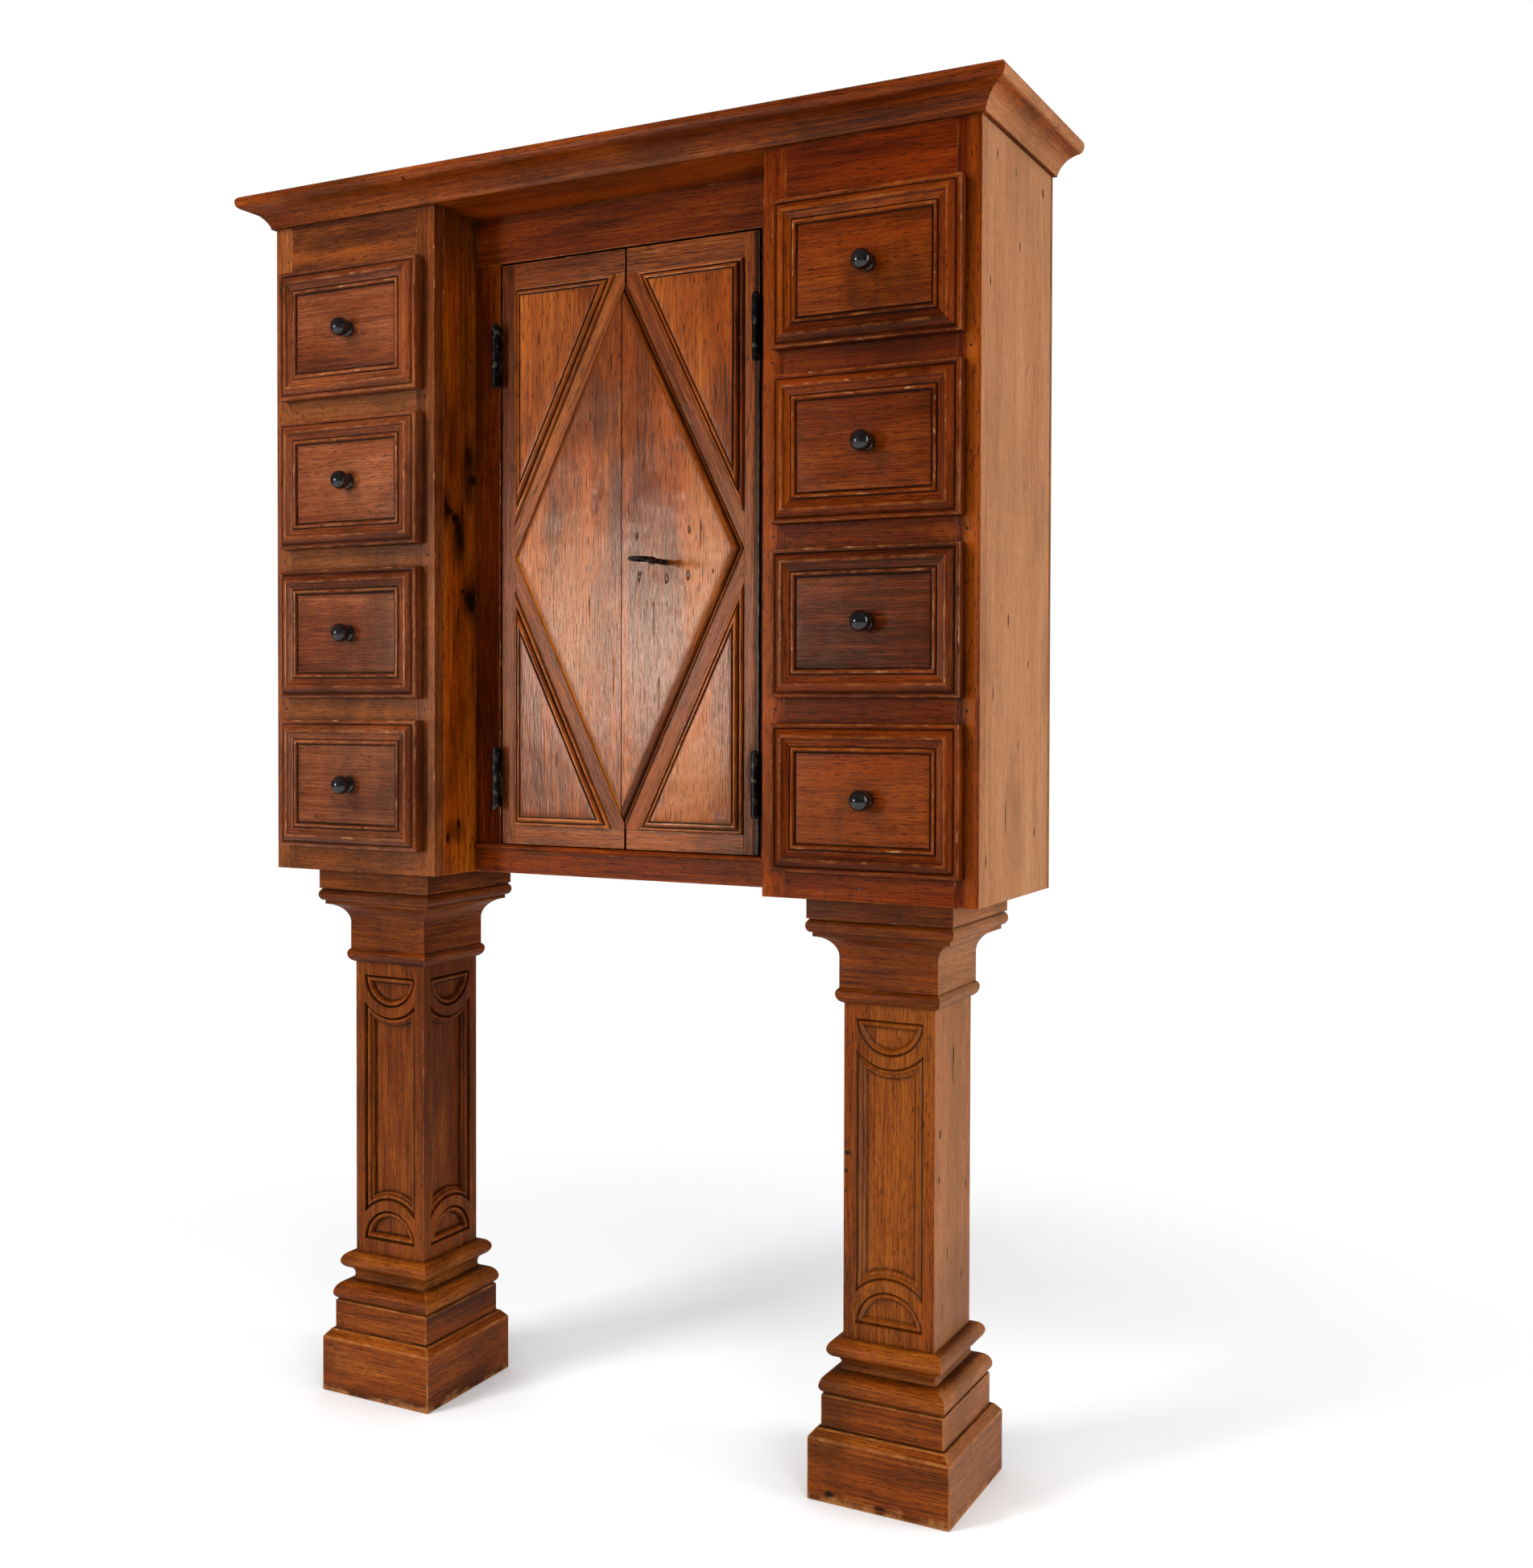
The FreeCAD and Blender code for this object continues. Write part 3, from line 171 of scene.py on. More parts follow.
# Knots, cracks, nail holes and wormholes, and on the right leaf a painted shadow band along its
# hinge edge, in millimetres from the part's origin: place, half sizes and strength
marks = {
    "cheek": [
        ((-277, -114, 1412), (6, 12, 5), 1.0), ((-277, -98, 1406), (6, 11, 5), 1.0),
        ((-277, -84, 1397), (6, 11, 6), 1.0), ((-277, -69, 1387), (6, 11, 9), 1.0),
        ((-277, -62, 1373), (6, 8, 13), 1.0), ((-277, -57, 1356), (6, 5, 15), 0.9),
        ((-277, -27, 1450), (6, 10, 9), 0.95), ((-277, -38, 1484), (6, 9, 14), 0.6),
        ((-277, -34, 1268), (6, 13, 8), 0.9), ((-277, -28, 1258), (6, 9, 9), 1.0),
        ((-277, -49, 1277), (6, 8, 4), 0.8), ((-277, -100, 1308), (6, 4, 4), 1.0),
        ((-277, -61, 1232), (6, 2.5, 28), 0.8), ((-277, -88, 902), (6, 4, 9), 1.0),
        ((-277, -61, 922), (6, 3.5, 8), 1.0), ((-277, -92, 1560), (6, 2, 30), 0.5),
        ((-277, -40, 1010), (6, 2, 34), 0.6), ((-277, -104, 1120), (6, 1.6, 26), 0.5),
    ],
    "doorPanel": [
        ((23, -29.6, 1352), (1.9, 6, 4.6), 1.0), ((111, -29.6, 1357), (2.1, 6, 5.6), 1.0),
        ((26, -29.6, 1290), (2.2, 6, 6.0), 1.0), ((27.5, -29.6, 1297), (3.0, 6, 3.0), 1.0),
        ((109, -29.6, 1292), (3.0, 6, 7.0), 0.95), ((73, -29.6, 1288), (2.6, 6, 7.0), 0.9),
        ((-52, -29.6, 1405), (9, 6, 16), 0.35), ((-40, -29.6, 1432), (6, 6, 20), 0.3),
        ((-60, -29.6, 1250), (1.4, 6, 20), 0.5), ((52, -29.6, 1230), (1.3, 6, 26), 0.45),
        ((130, -29.6, 1352), (1.3, 6, 22), 0.6), ((-22, -29.6, 1610), (2, 6, 14), 0.7),
        ((150, -29.6, 1296), (1.6, 6, 3), 0.9), ((-120, -29.6, 1020), (1.5, 6, 12), 0.6),
        ((60, -29.6, 1120), (1.5, 6, 22), 0.5), ((-18, -29.6, 1150), (1.4, 6, 30), 0.4),
    ],
    "side": [
        ((587, -63, 1815), (6, 2, 7), 1.0), ((587, 10, 1812), (6, 2.2, 6), 0.8),
        ((587, 124, 1815), (6, 3.2, 7), 1.0), ((587, 28, 1718), (6, 2.2, 7), 0.8),
        ((587, -88, 1647), (6, 2, 7), 0.9), ((587, 60, 1560), (6, 1.8, 9), 0.5),
        ((587, -12, 1217), (6, 3, 11), 0.9), ((587, 70, 1160), (6, 2.2, 6), 0.8),
        ((587, -70, 1120), (6, 2.4, 10), 0.8), ((587, 30, 1050), (6, 2.2, 8), 0.7),
        ((587, -20, 960), (6, 2, 22), 0.7), ((587, 100, 930), (6, 2.4, 7), 0.8),
        ((587, -95, 905), (6, 2, 9), 0.8), ((587, 50, 1400), (6, 2, 9), 0.5),
    ],
    "cornice": [
        ((-8, -164, 1896), (16, 4, 2.6), 1.0), ((14, -164, 1895), (10, 4, 2.2), 0.9),
        ((32, -164, 1896), (9, 4, 2.0), 0.9), ((-300, -160, 1880), (3, 6, 3), 0.8),
        ((-420, -140, 1860), (3.2, 9, 3), 0.9), ((210, -150, 1868), (3, 9, 3), 0.8),
        ((-120, -136, 1858), (2.6, 9, 3), 0.8), ((430, -158, 1886), (3, 8, 3), 0.8),
    ],
    # Right leaf: a long dark band along the hinge edge is a painted shadow of the gap beside it, and a dark
    # smudge lower down
    "rightFrameShadow": [((221, -19, 1333), (10, 80, 4000), 1.0), ((214, -19, 1010), (12, 20, 40), 0.8)],
    "rightLeg": [
        ((485, 62, 618), (6, 2.4, 15), 1.0), ((485, 60, 596), (6, 1.6, 20), 0.8),
        ((485, 12, 517), (6, 3, 7), 1.0), ((485, 9, 454), (6, 2.6, 6), 0.9),
        ((485, 112, 425), (6, 2, 9), 0.9), ((485, 40, 345), (6, 2, 12), 0.8),
        ((485, 96, 300), (6, 2, 7), 0.8), ((485, 22, 270), (6, 1.6, 14), 0.7),
        ((354, -6, 480), (5, 5, 3.4), 0.9), ((352, -6, 455), (4, 5, 2.6), 0.8),
        ((420, -44, 10), (12, 5, 3), 0.9), ((345, -44, 12), (7, 6, 6), 1.0),
    ],
}


# Old waxed walnut. The mesh carries "grain" (metres along and across the plank, with an offset
# of the plank's own), "plank" (a number from 0 to 1 for each plank), "sunned", the painted side
# light (how much paler the face is painted for facing the light on the right) and "tone" (1 rubbed pale, -1
# full of grime).
# Each look: dark, middle and light colour, roughness, how much the wax shines, size of the pores.
woodLooks = {
    "case": ((76, 28, 5), (124, 56, 12), (160, 82, 24), 0.36, 0.22),
    "casePink": ((72, 30, 10), (123, 60, 23), (162, 92, 44), 0.34, 0.24),
    "rails": ((68, 16, 1), (110, 36, 2), (146, 62, 8), 0.34, 0.16),
    "front": ((56, 15, 1), (99, 35, 2), (138, 62, 11), 0.3, 0.18),
    "frontDark": ((38, 11, 2), (84, 31, 7), (128, 60, 20), 0.3, 0.22),
    "frontPink": ((70, 26, 9), (122, 56, 25), (156, 88, 52), 0.32, 0.28),
    "mould": ((70, 23, 2), (124, 50, 6), (166, 84, 22), 0.36, 0.2),
    "door": ((70, 26, 5), (136, 61, 13), (188, 102, 32), 0.26, 0.56, 0.6),
    "leaf": ((54, 18, 4), (114, 48, 12), (164, 88, 34), 0.32, 0.36, 0.7),
    "niche": ((64, 17, 1), (120, 44, 4), (156, 72, 12), 0.4, 0.18),
    "cheek": ((98, 30, 2), (154, 64, 5), (200, 106, 20), 0.38, 0.24),
    "leg": ((62, 22, 3), (115, 49, 6), (160, 84, 22), 0.34, 0.2),
    # The foot is the leg's wood painted lighter: painted light that makes up for the plinths and bases
    # getting less light
    "foot": ((72, 28, 4), (132, 59, 8), (172, 94, 26), 0.36, 0.2),
    "inside": ((84, 49, 28), (148, 98, 60), (188, 138, 94), 0.7, 0.2),
}


# Soft stains, and some patches of painted light and painted shade: place, half sizes, strength and colour
stains = {
    "cheek": [
        ((-277, -98, 1402), (20, 30, 44), 0.9, (34, 12, 3)),
        ((-277, -60, 1362), (20, 24, 70), 0.9, (30, 10, 3)),
        ((-277, -36, 1468), (20, 24, 80), 0.85, (40, 14, 4)),
        ((-277, -32, 1266), (20, 30, 40), 0.9, (30, 10, 3)),
        ((-277, -76, 1500), (20, 12, 90), 0.5, (52, 18, 4)),
        ((-277, -46, 1640), (20, 20, 150), 0.5, (52, 18, 4)),
        # A dark band across the top of the cheek is painted shade under the top of the niche
        ((-277, -60, 1850), (40, 160, 110), 0.7, (50, 17, 4)),
        ((-277, -98, 1560), (20, 10, 120), 0.45, (60, 22, 4)),
        ((-277, -70, 1210), (20, 9, 70), 0.5, (56, 20, 4)),
        ((-277, -70, 910), (20, 26, 22), 0.6, (44, 16, 4)),
    ],
    "rightFace": [
        # The two stiles and a spot by the right stile are painted brighter, painted light that lifts them out
        # of the shade; the dark band along the top rail is painted shade under the cornice
        ((576, -119, 1330), (13, 40, 560), 0.75, (176, 84, 16)),
        ((286, -119, 1330), (13, 40, 560), 0.5, (168, 78, 16)),
        ((540, -119, 1326), (22, 40, 14), 0.5, (172, 84, 20)),
        ((430, -119, 1830), (110, 40, 10), 0.5, (70, 18, 2)),
    ],
    "doorPanel": [
        ((-48, -29, 1540), (50, 40, 62), 0.55, (72, 36, 24)),
        ((-12, -29, 1350), (26, 40, 150), 0.5, (70, 34, 26)),
        ((36, -29, 1392), (46, 40, 76), 0.5, (104, 38, 14)),
        ((-126, -29, 1370), (18, 40, 32), 0.6, (66, 36, 22)),
        ((136, -29, 1300), (48, 40, 120), 0.55, (188, 104, 34)),
        ((-90, -29, 1260), (60, 40, 150), 0.4, (170, 98, 44)),
        ((120, -29, 1000), (70, 40, 90), 0.7, (168, 92, 26)),
        ((110, -29, 1690), (80, 40, 90), 0.5, (146, 66, 18)),
        ((-130, -29, 1640), (70, 40, 110), 0.4, (158, 78, 26)),
        ((8, -29, 1620), (40, 40, 90), 0.45, (120, 50, 14)),
        ((60, -29, 1160), (60, 40, 70), 0.4, (150, 96, 66)),
    ],
}


def makeWood(name, look, stain=0.7, spots=(), patches=(), scuffed=False):
    dark, mid, light, rough, wax = look[:5]
    pores = look[5] if len(look) > 5 else 1.0
    t = Tree("walnut_" + name)
    grain = t.attribute("grain", "Vector")
    plank, paintedSidelight, tone = (t.attribute(key) for key in ("plank", "paintedSidelight", "tone"))
    place = t.node("TexCoord").outputs["Object"]

    broad = t.noise(grain, (1.1, 11, 11), 5, 0.6, 0.5)
    streak = t.noise(grain, (4.5, 120, 120), 4, 0.6, 0.2)
    fine = t.noise(grain, (11, 430, 430), 3, 0.6)
    fibre = t.noise(grain, (30, 1300, 1300), 2, 0.5)
    figure = t.total([(broad, 0.40), (streak, 0.16), (fine, 0.28), (fibre, 0.16), (plank, 0.06)], -0.03)
    colour = t.ramp(figure, [
        (0.395, linear(*dark)), (0.49, linear(*mid)), (0.59, linear(*light)),
        (0.70, linear(*[min(255, c * 1.12) for c in light])),
    ])

    # Darker clouds that don't follow the grain, and warm glints that do
    cloud = t.noise(place, (4.6, 4.6, 2.8), 5, 0.64, 0.6)
    smoke = linear(*[c * 0.55 for c in mid])
    colour = t.blend(t.spread(cloud, 0.47, 0.70, 0, stain), colour, smoke)
    glint = t.noise(grain, (2.0, 12, 12), 4, 0.6, 0.3)
    glow = linear(min(255, light[0] * 1.1), light[1] * 0.95, light[2] * 0.6)
    colour = t.blend(t.spread(glint, 0.50, 0.74, 0, 0.5), colour, glow)

    # Soft patches: stains, and where listed, painted light and painted shade
    for spot, half, strength, tint in patches:
        ragged = t.total([(cloud, 1.2), (streak, 0.6)], t.distance(place, spot, half))
        colour = t.blend(t.spread(ragged, 1.25, 2.1, strength, 0), colour, linear(*tint))

    # Short open pores
    pits = t.noise(grain, (75 * pores, 680 * pores, 680 * pores), 2, 0.5)
    colour = t.blend(t.spread(pits, 0.32, 0.44, 0.75, 0), colour, linear(*[c * 0.6 for c in dark]))

    # Faces turned to the right are painted paler, a painted side light, and keep a trace of the grain
    pale = t.ramp(t.total([(broad, 0.35), (fine, 0.30), (pits, 0.35)]), [
        (0.36, linear(150, 94, 58)), (0.50, linear(178, 122, 82)), (0.62, linear(198, 144, 104)),
    ])
    pale = t.blend(t.spread(cloud, 0.48, 0.68, 0, 0.45), pale, linear(136, 90, 60))
    colour = t.blend(paintedSidelight, colour, pale)

    # Fine fibres and small nicks, then the marks that have a place of their own, among them the painted
    # shadow along the right leaf's hinge edge
    pore = t.spread(fibre, 0.28, 0.42, 0.5, 0)
    colour = t.blend(pore, colour, linear(*[c * 0.5 for c in dark]))
    nicksMarksAndShadow = t.chips(grain, (9, 55, 55), 0.74, 0.11, 0.03, 0.9)
    for spot, half, strength in spots:
        ragged = t.total([(streak, 1.1)], t.distance(place, spot, half))
        nicksMarksAndShadow = t.maths("MAXIMUM", nicksMarksAndShadow, t.spread(ragged, 1.10, 1.85, strength, 0))
    colour = t.blend(nicksMarksAndShadow, colour, linear(20, 8, 3))

    # Grime in quirks and corners, together with painted shade: ambient occlusion darkens hollows, corners and
    # joints where shade falls. Then rubbed arrises and pale flecks
    occlusionShade = t.node("AmbientOcclusion", samples=4)
    occlusionShade.inputs["Distance"].default_value = 0.03
    grimeAndShade = t.spread(occlusionShade.outputs["AO"], 0.15, 0.92, 0.92, 0.0)
    patchy = t.noise(place, (34, 34, 34), 4, 0.65)
    packed = t.spread(t.maths("MULTIPLY", tone, -1.0), 0.15, 0.95, 0, 0.92)
    packed = t.maths("MULTIPLY", packed, t.spread(patchy, 0.30, 0.60, 0.55, 1.0))
    grimeAndShade = t.maths("MAXIMUM", grimeAndShade, packed)
    colour = t.blend(grimeAndShade, colour, linear(*[c * 0.28 for c in dark]))
    rubbed = t.spread(tone, 0.30, 0.95)
    leastWear, mostWear, leastFleck = (0.3, 0.85, 0.78) if scuffed else (0.04, 0.5, 0.86)
    wear = t.maths("MULTIPLY", rubbed, t.spread(patchy, 0.42, 0.64, leastWear, mostWear))
    colour = t.blend(wear, colour, linear(*[(c + worn) / 2 for c, worn in zip(light, (190, 132, 84))]))
    torn = t.noise(grain, (38, 150, 150), 3, 0.6)
    torn = t.maths("MULTIPLY", t.spread(tone, 0.45, 0.85), t.spread(torn, 0.60, 0.70, 0, 0.7))
    colour = t.blend(torn, colour, linear(196, 142, 96))
    fleck = t.chips(place, (150, 150, 110), leastFleck, 0.28, 0.04, 0.75)
    fleck = t.maths("MULTIPLY", fleck, t.spread(patchy, 0.55, 0.66))
    colour = t.blend(fleck, colour, linear(206, 150, 100))

    # A pale band with a ragged top where brooms and shoes have scuffed the foot
    if scuffed:
        level = t.node("SeparateXYZ")
        t.join(place, level.inputs[0])
        low = t.total([(patchy, -0.046), (streak, -0.02)], level.outputs["Z"])
        colour = t.blend(t.spread(low, -0.034, -0.022, 0.7, 0), colour, linear(184, 122, 68))
    t.join(colour, t.shader.inputs["Base Color"])

    dull = t.total([(broad, 0.16), (grimeAndShade, 0.3), (paintedSidelight, 0.22), (rubbed, -0.16)], rough - 0.08)
    t.join(dull, t.shader.inputs["Roughness"])
    t.shader.inputs["Specular IOR Level"].default_value = wax
    t.shader.inputs["Specular Tint"].default_value = (1.0, 0.78, 0.62, 1)

    # The planed surface: fibres, short torn pits and shallow waves from the plane
    planed = t.noise(place, (10, 10, 10), 2, 0.5)
    t.bump(t.total([(fine, 0.30), (pits, 0.62), (planed, 3.2), (nicksMarksAndShadow, -1.2)]), 0.55, 1.1 * mm)
    return t.material


plainLooks = ("casePink", "front", "frontDark", "frontPink", "leaf", "niche", "leg", "inside")
markedLooks = {
    "cheek": ("cheek", dict(spots=marks["cheek"], patches=stains["cheek"])),
    "doorPanel": ("door", dict(stain=0.85, spots=marks["doorPanel"], patches=stains["doorPanel"])),
    "rightLeaf": ("leaf", dict(spots=marks["rightFrameShadow"])),
    "rightFace": ("rails", dict(patches=stains["rightFace"])),
    "side": ("case", dict(spots=marks["side"])),
    "cornice": ("mould", dict(spots=marks["cornice"])),
    "shaft": ("leg", dict(spots=marks["rightLeg"])),
    "foot": ("foot", dict(spots=marks["rightLeg"], scuffed=True)),
}
walnut = {name: makeWood(name, woodLooks[name]) for name in plainLooks}
for name, (look, extra) in markedLooks.items():
    walnut[name] = makeWood(name, woodLooks[look], **extra)


def makeIron():
    t = Tree("dark_iron")
    place = t.node("TexCoord").outputs["Object"]
    mottle = t.noise(place, (90, 90, 90), 4, 0.6)
    colour = t.ramp(mottle, [
        (0.35, linear(8, 7, 7)), (0.54, linear(22, 20, 18)), (0.66, linear(104, 94, 86)),
    ])
    t.join(colour, t.shader.inputs["Base Color"])
    t.shader.inputs["Metallic"].default_value = 0.55
    t.join(t.spread(mottle, 0.3, 0.7, 0.24, 0.5), t.shader.inputs["Roughness"])
    t.bump(mottle, 0.6, 0.6 * mm)
    return t.material


def makeEbony():
    t = Tree("black_knob")
    place = t.node("TexCoord").outputs["Object"]
    rub = t.noise(place, (60, 60, 60), 3, 0.6)
    colour = t.ramp(rub, [(0.4, linear(9, 8, 8)), (0.7, linear(30, 22, 18))])
    t.join(colour, t.shader.inputs["Base Color"])
    t.join(t.spread(rub, 0.35, 0.7, 0.16, 0.34), t.shader.inputs["Roughness"])
    t.shader.inputs["Specular IOR Level"].default_value = 0.6
    t.shader.inputs["Coat Weight"].default_value = 0.35
    t.shader.inputs["Coat Roughness"].default_value = 0.12
    return t.material


iron = makeIron()
ebony = makeEbony()


# The closed solids of a node, one after the other: (points, triangles). Points that agree to
# a micrometre are one point.
def solidsOf(node):
    mesh = nodes[node].data
    count = len(mesh.vertices)
    points = np.empty(count * 3)
    mesh.vertices.foreach_get("co", points)
    points = points.reshape(-1, 3)
    found = []
    keys, order, triangles = {}, [], []
    unmatched = set()
    for polygon in mesh.polygons:
        corner = []
        for index in polygon.vertices:
            key = tuple(np.round(points[index] * 1e6).astype(int))
            if key not in keys:
                keys[key] = len(order)
                order.append(points[index])
            corner.append(keys[key])
        if len(set(corner)) == len(corner):
            triangles.append(corner)
            for first, second in zip(corner, corner[1:] + corner[:1]):
                if (second, first) in unmatched:
                    unmatched.remove((second, first))
                else:
                    unmatched.add((first, second))
        if triangles and not unmatched:
            found.append((np.array(order), triangles))
            keys, order, triangles = {}, [], []
    if triangles:
        found.append((np.array(order), triangles))
    return found


# Angles in degrees: faces closer to level than the first are joined, edges sharper than the
# second are rounded, and edges sharper than the third show as a crease
levelAngle, roundedAngle, creaseAngle = 0.6, 28, 38


# A solid with rounded edges; the roundings are marked as rubbed, and inner ones as grimy
def softened(points, faces, bevel):
    bm = bmesh.new()
    verts = [bm.verts.new(point) for point in points]
    for face in faces:
        try:
            bm.faces.new([verts[index] for index in face])
        except ValueError:
            pass
    bmesh.ops.recalc_face_normals(bm, faces=bm.faces)
    bmesh.ops.dissolve_limit(bm, angle_limit=math.radians(levelAngle), verts=bm.verts, edges=bm.edges)
    toneLayer = bm.loops.layers.float.new("tone")
    limit = math.radians(roundedAngle)
    sharp = [edge for edge in bm.edges if edge.is_manifold and edge.calc_face_angle(0) > limit]
    made = bmesh.ops.bevel(bm, geom=sharp, offset=bevel, segments=2, profile=0.6,
                           affect="EDGES", clamp_overlap=True)
    for face in made["faces"]:
        balance = sum(1 if edge.is_convex else -1 for edge in face.edges if edge.calc_face_angle(0) > 0.1)
        for loop in face.loops:
            loop[toneLayer] = 0.8 if balance > 0 else -0.8
    return bm


# Grain runs along the plank's longest side, or along the one asked for
def grainOf(low, high, axis):
    along = "xyz".index(axis) if axis else int(np.argmax(high - low))
    return along, (along + 1) % 3, (along + 2) % 3


# The layers that the wood reads. An axis of "wrap" runs the grain level around a square
# member. Faces of a mitred length carry its number, and ways gives each length's direction.
def addGrain(bm, low, high, axis, draw, sidelight=0.0, ways=(), gapShadow=0.0):
    grainLayer = bm.loops.layers.float_vector.new("grain")
    plankLayer = bm.loops.layers.float.new("plank")
    paintedSidelightLayer = bm.loops.layers.float.new("paintedSidelight")
    toneLayer = bm.loops.layers.float.get("tone") or bm.loops.layers.float.new("tone")
    lengthLayer = bm.faces.layers.int.get("length")
    middle = Vector((low + high) / 2)
    offset = Vector((draw.uniform(-3, 3), draw.uniform(-1, 1), draw.uniform(-1, 1)))
    shade = draw.random()
    bm.normal_update()
    for face in bm.faces:
        length = face[lengthLayer] if lengthLayer and ways else 0
        way = ways[length - 1] if length else axis
        if isinstance(way, Vector):
            forward = way.normalized()
            side = forward.cross(Vector((0, 1, 0))).normalized()
            frameOf = (forward, side, forward.cross(side))
        else:
            if way == "wrap":
                along = 1 if abs(face.normal.x) > abs(face.normal.y) else 0
                order = (along, 2, 1 - along)
            else:
                order = grainOf(low, high, way)
            frameOf = [Vector([float(k == index) for k in range(3)]) for index in order]
        # Painted side light: the more a face turns to the right, the paler its colour is painted
        paintedSidelight = sidelight * min(1, max(0, face.normal.x - 0.25) * 1.8)
        for loop in face.loops:
            rest = loop.vert.co - middle
            local = Vector([rest.dot(direction) for direction in frameOf])
            loop[grainLayer] = local + offset + Vector((0, 0.37 * length, 0.11 * length))
            loop[plankLayer] = (shade + 0.31 * length) % 1.0
            loop[paintedSidelightLayer] = paintedSidelight
            # A painted shadow: the right jamb's tone is set to full grime, which paints it black
            if gapShadow:
                loop[toneLayer] = -gapShadow
        face.smooth = True


def joinParts(name, parts, material, body, replaces=()):
    whole = bmesh.new()
    for bm in parts:
        scratch = bpy.data.meshes.new("scratch")
        bm.to_mesh(scratch)
        bm.free()
        whole.from_mesh(scratch)
        bpy.data.meshes.remove(scratch)
    mitreLayer = whole.edges.layers.int.get("mitre")
    for edge in whole.edges:
        mitred = mitreLayer and edge[mitreLayer]
        edge.smooth = not mitred and edge.calc_face_angle(math.pi) < math.radians(creaseAngle)
    mesh = bpy.data.meshes.new(name)
    whole.to_mesh(mesh)
    whole.free()
    mesh.materials.append(material)
    piece = bpy.data.objects.new(name, mesh)
    bpy.context.collection.objects.link(piece)
    weigh = piece.modifiers.new("weigh", "WEIGHTED_NORMAL")
    weigh.keep_sharp = True
    weigh.weight = 100
    piece.data = bpy.data.meshes.new_from_object(piece.evaluated_get(bpy.context.evaluated_depsgraph_get()))
    piece.modifiers.clear()
    piece.data.name = name
    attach(piece, body)
    if replaces:
        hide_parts(*replaces)
    return piece


# How much painted side light each node's right-hand faces get, painted in as a paler colour
paintedSidelightOf = {
    "right_side_panel": 1.0, "right_face_frame": 0.9, "cornice_moulding": 0.75, "top_board": 0.6,
    "right_leg_plinth": 0.4, "right_leg_base": 0.5, "right_leg_shaft": 0.62, "right_leg_capital": 0.6,
}


# The node's own solids with rounded edges and grain. The bevel is in millimetres, and the
# right jamb is painted black, a painted shadow for the deep gap beside the right leaf.
def dress(node, material, bevel, axis=None, axes=None):
    parts = []
    for index, (points, faces) in enumerate(solidsOf(node)):
        draw = random.Random(node + str(index))
        low, high = points.min(axis=0), points.max(axis=0)
        bm = softened(points, faces, bevel * mm)
        gapShadow = 1 if node == "door_jambs" and low[0] > 0 else 0
        addGrain(bm, low, high, axes[index] if axes else axis, draw, paintedSidelightOf.get(node, 0), gapShadow=gapShadow)
        parts.append(bm)
    return joinParts("look_" + node, parts, material, nodeBody[node], (node,))


caseLooks = {
    "left_side_panel": ("casePink", 1.5), "right_side_panel": ("side", 1.5),
    "left_inner_panel": ("cheek", 1.2), "right_inner_panel": ("niche", 1.2),
    "top_board": ("niche", 1.0), "back_boards": ("inside", 1.0), "floor_boards": ("inside", 1.0),
    "left_face_frame": ("casePink", 1.1), "right_face_frame": ("rightFace", 1.1),
    "drawer_runners": ("inside", 0.8), "cornice_moulding": ("cornice", 0.8),
    "frieze_rail": ("niche", 1.0), "niche_foot_rail": ("niche", 1.2), "door_jambs": ("niche", 1.0),
    "cupboard_shelves": ("inside", 0.8),
}
for node, (look, bevel) in caseLooks.items():
    dress(node, walnut[look], bevel)
print("case pieces done")


# A new mesh with its layers, which have to be there before its first point
def newMesh():
    bm = bmesh.new()
    bm.loops.layers.float.new("tone")
    bm.edges.layers.int.new("mitre")
    bm.faces.layers.int.new("length")
    return bm


# Rings of moulding. A profile of (inset, rise, tone) in millimetres goes round a shape, which
# gives its outline for every inset, and is mitred at the points whose numbers are given.
def layRings(bm, shape, mitres, profile, place, field=99):
    toneLayer = bm.loops.layers.float["tone"]
    mitreLayer = bm.edges.layers.int["mitre"]
    lengthLayer = bm.faces.layers.int["length"]
    rings = [[bm.verts.new(place(u, v, rise)) for u, v in shape(width)] for width, rise, _ in profile]
    count = len(rings[0])
    length = 0
    for k in range(count):
        after = (k + 1) % count
        length += k in mitres
        for level, (lower, upper) in enumerate(zip(rings, rings[1:])):
            face = bm.faces.new((lower[k], lower[after], upper[after], upper[k]))
            face[lengthLayer] = length if level < field else 0
            first, second = profile[level][2], profile[level + 1][2]
            for loop, tone in zip(face.loops, (first, first, second, second)):
                loop[toneLayer] = tone
    for k in mitres:
        for lower, upper in zip(rings, rings[1:]):
            bm.edges.get((lower[k], upper[k]))[mitreLayer] = 1
    return rings[0], rings[-1]


# The outline moved inwards by an inset of its own for each side
def inset(outline, insets):
    count = len(outline)
    lines = []
    for k in range(count):
        (ax, ay), (bx, by) = outline[k], outline[(k + 1) % count]
        length = math.hypot(bx - ax, by - ay)
        nx, ny = -(by - ay) / length, (bx - ax) / length
        lines.append((nx, ny, nx * ax + ny * ay + insets[k]))
    moved = []
    for k in range(count):
        (a, b, e), (c, d, f) = lines[k - 1], lines[k]
        det = a * d - b * c
        moved.append(((e * d - b * f) / det, (a * f - e * c) / det))
    return moved


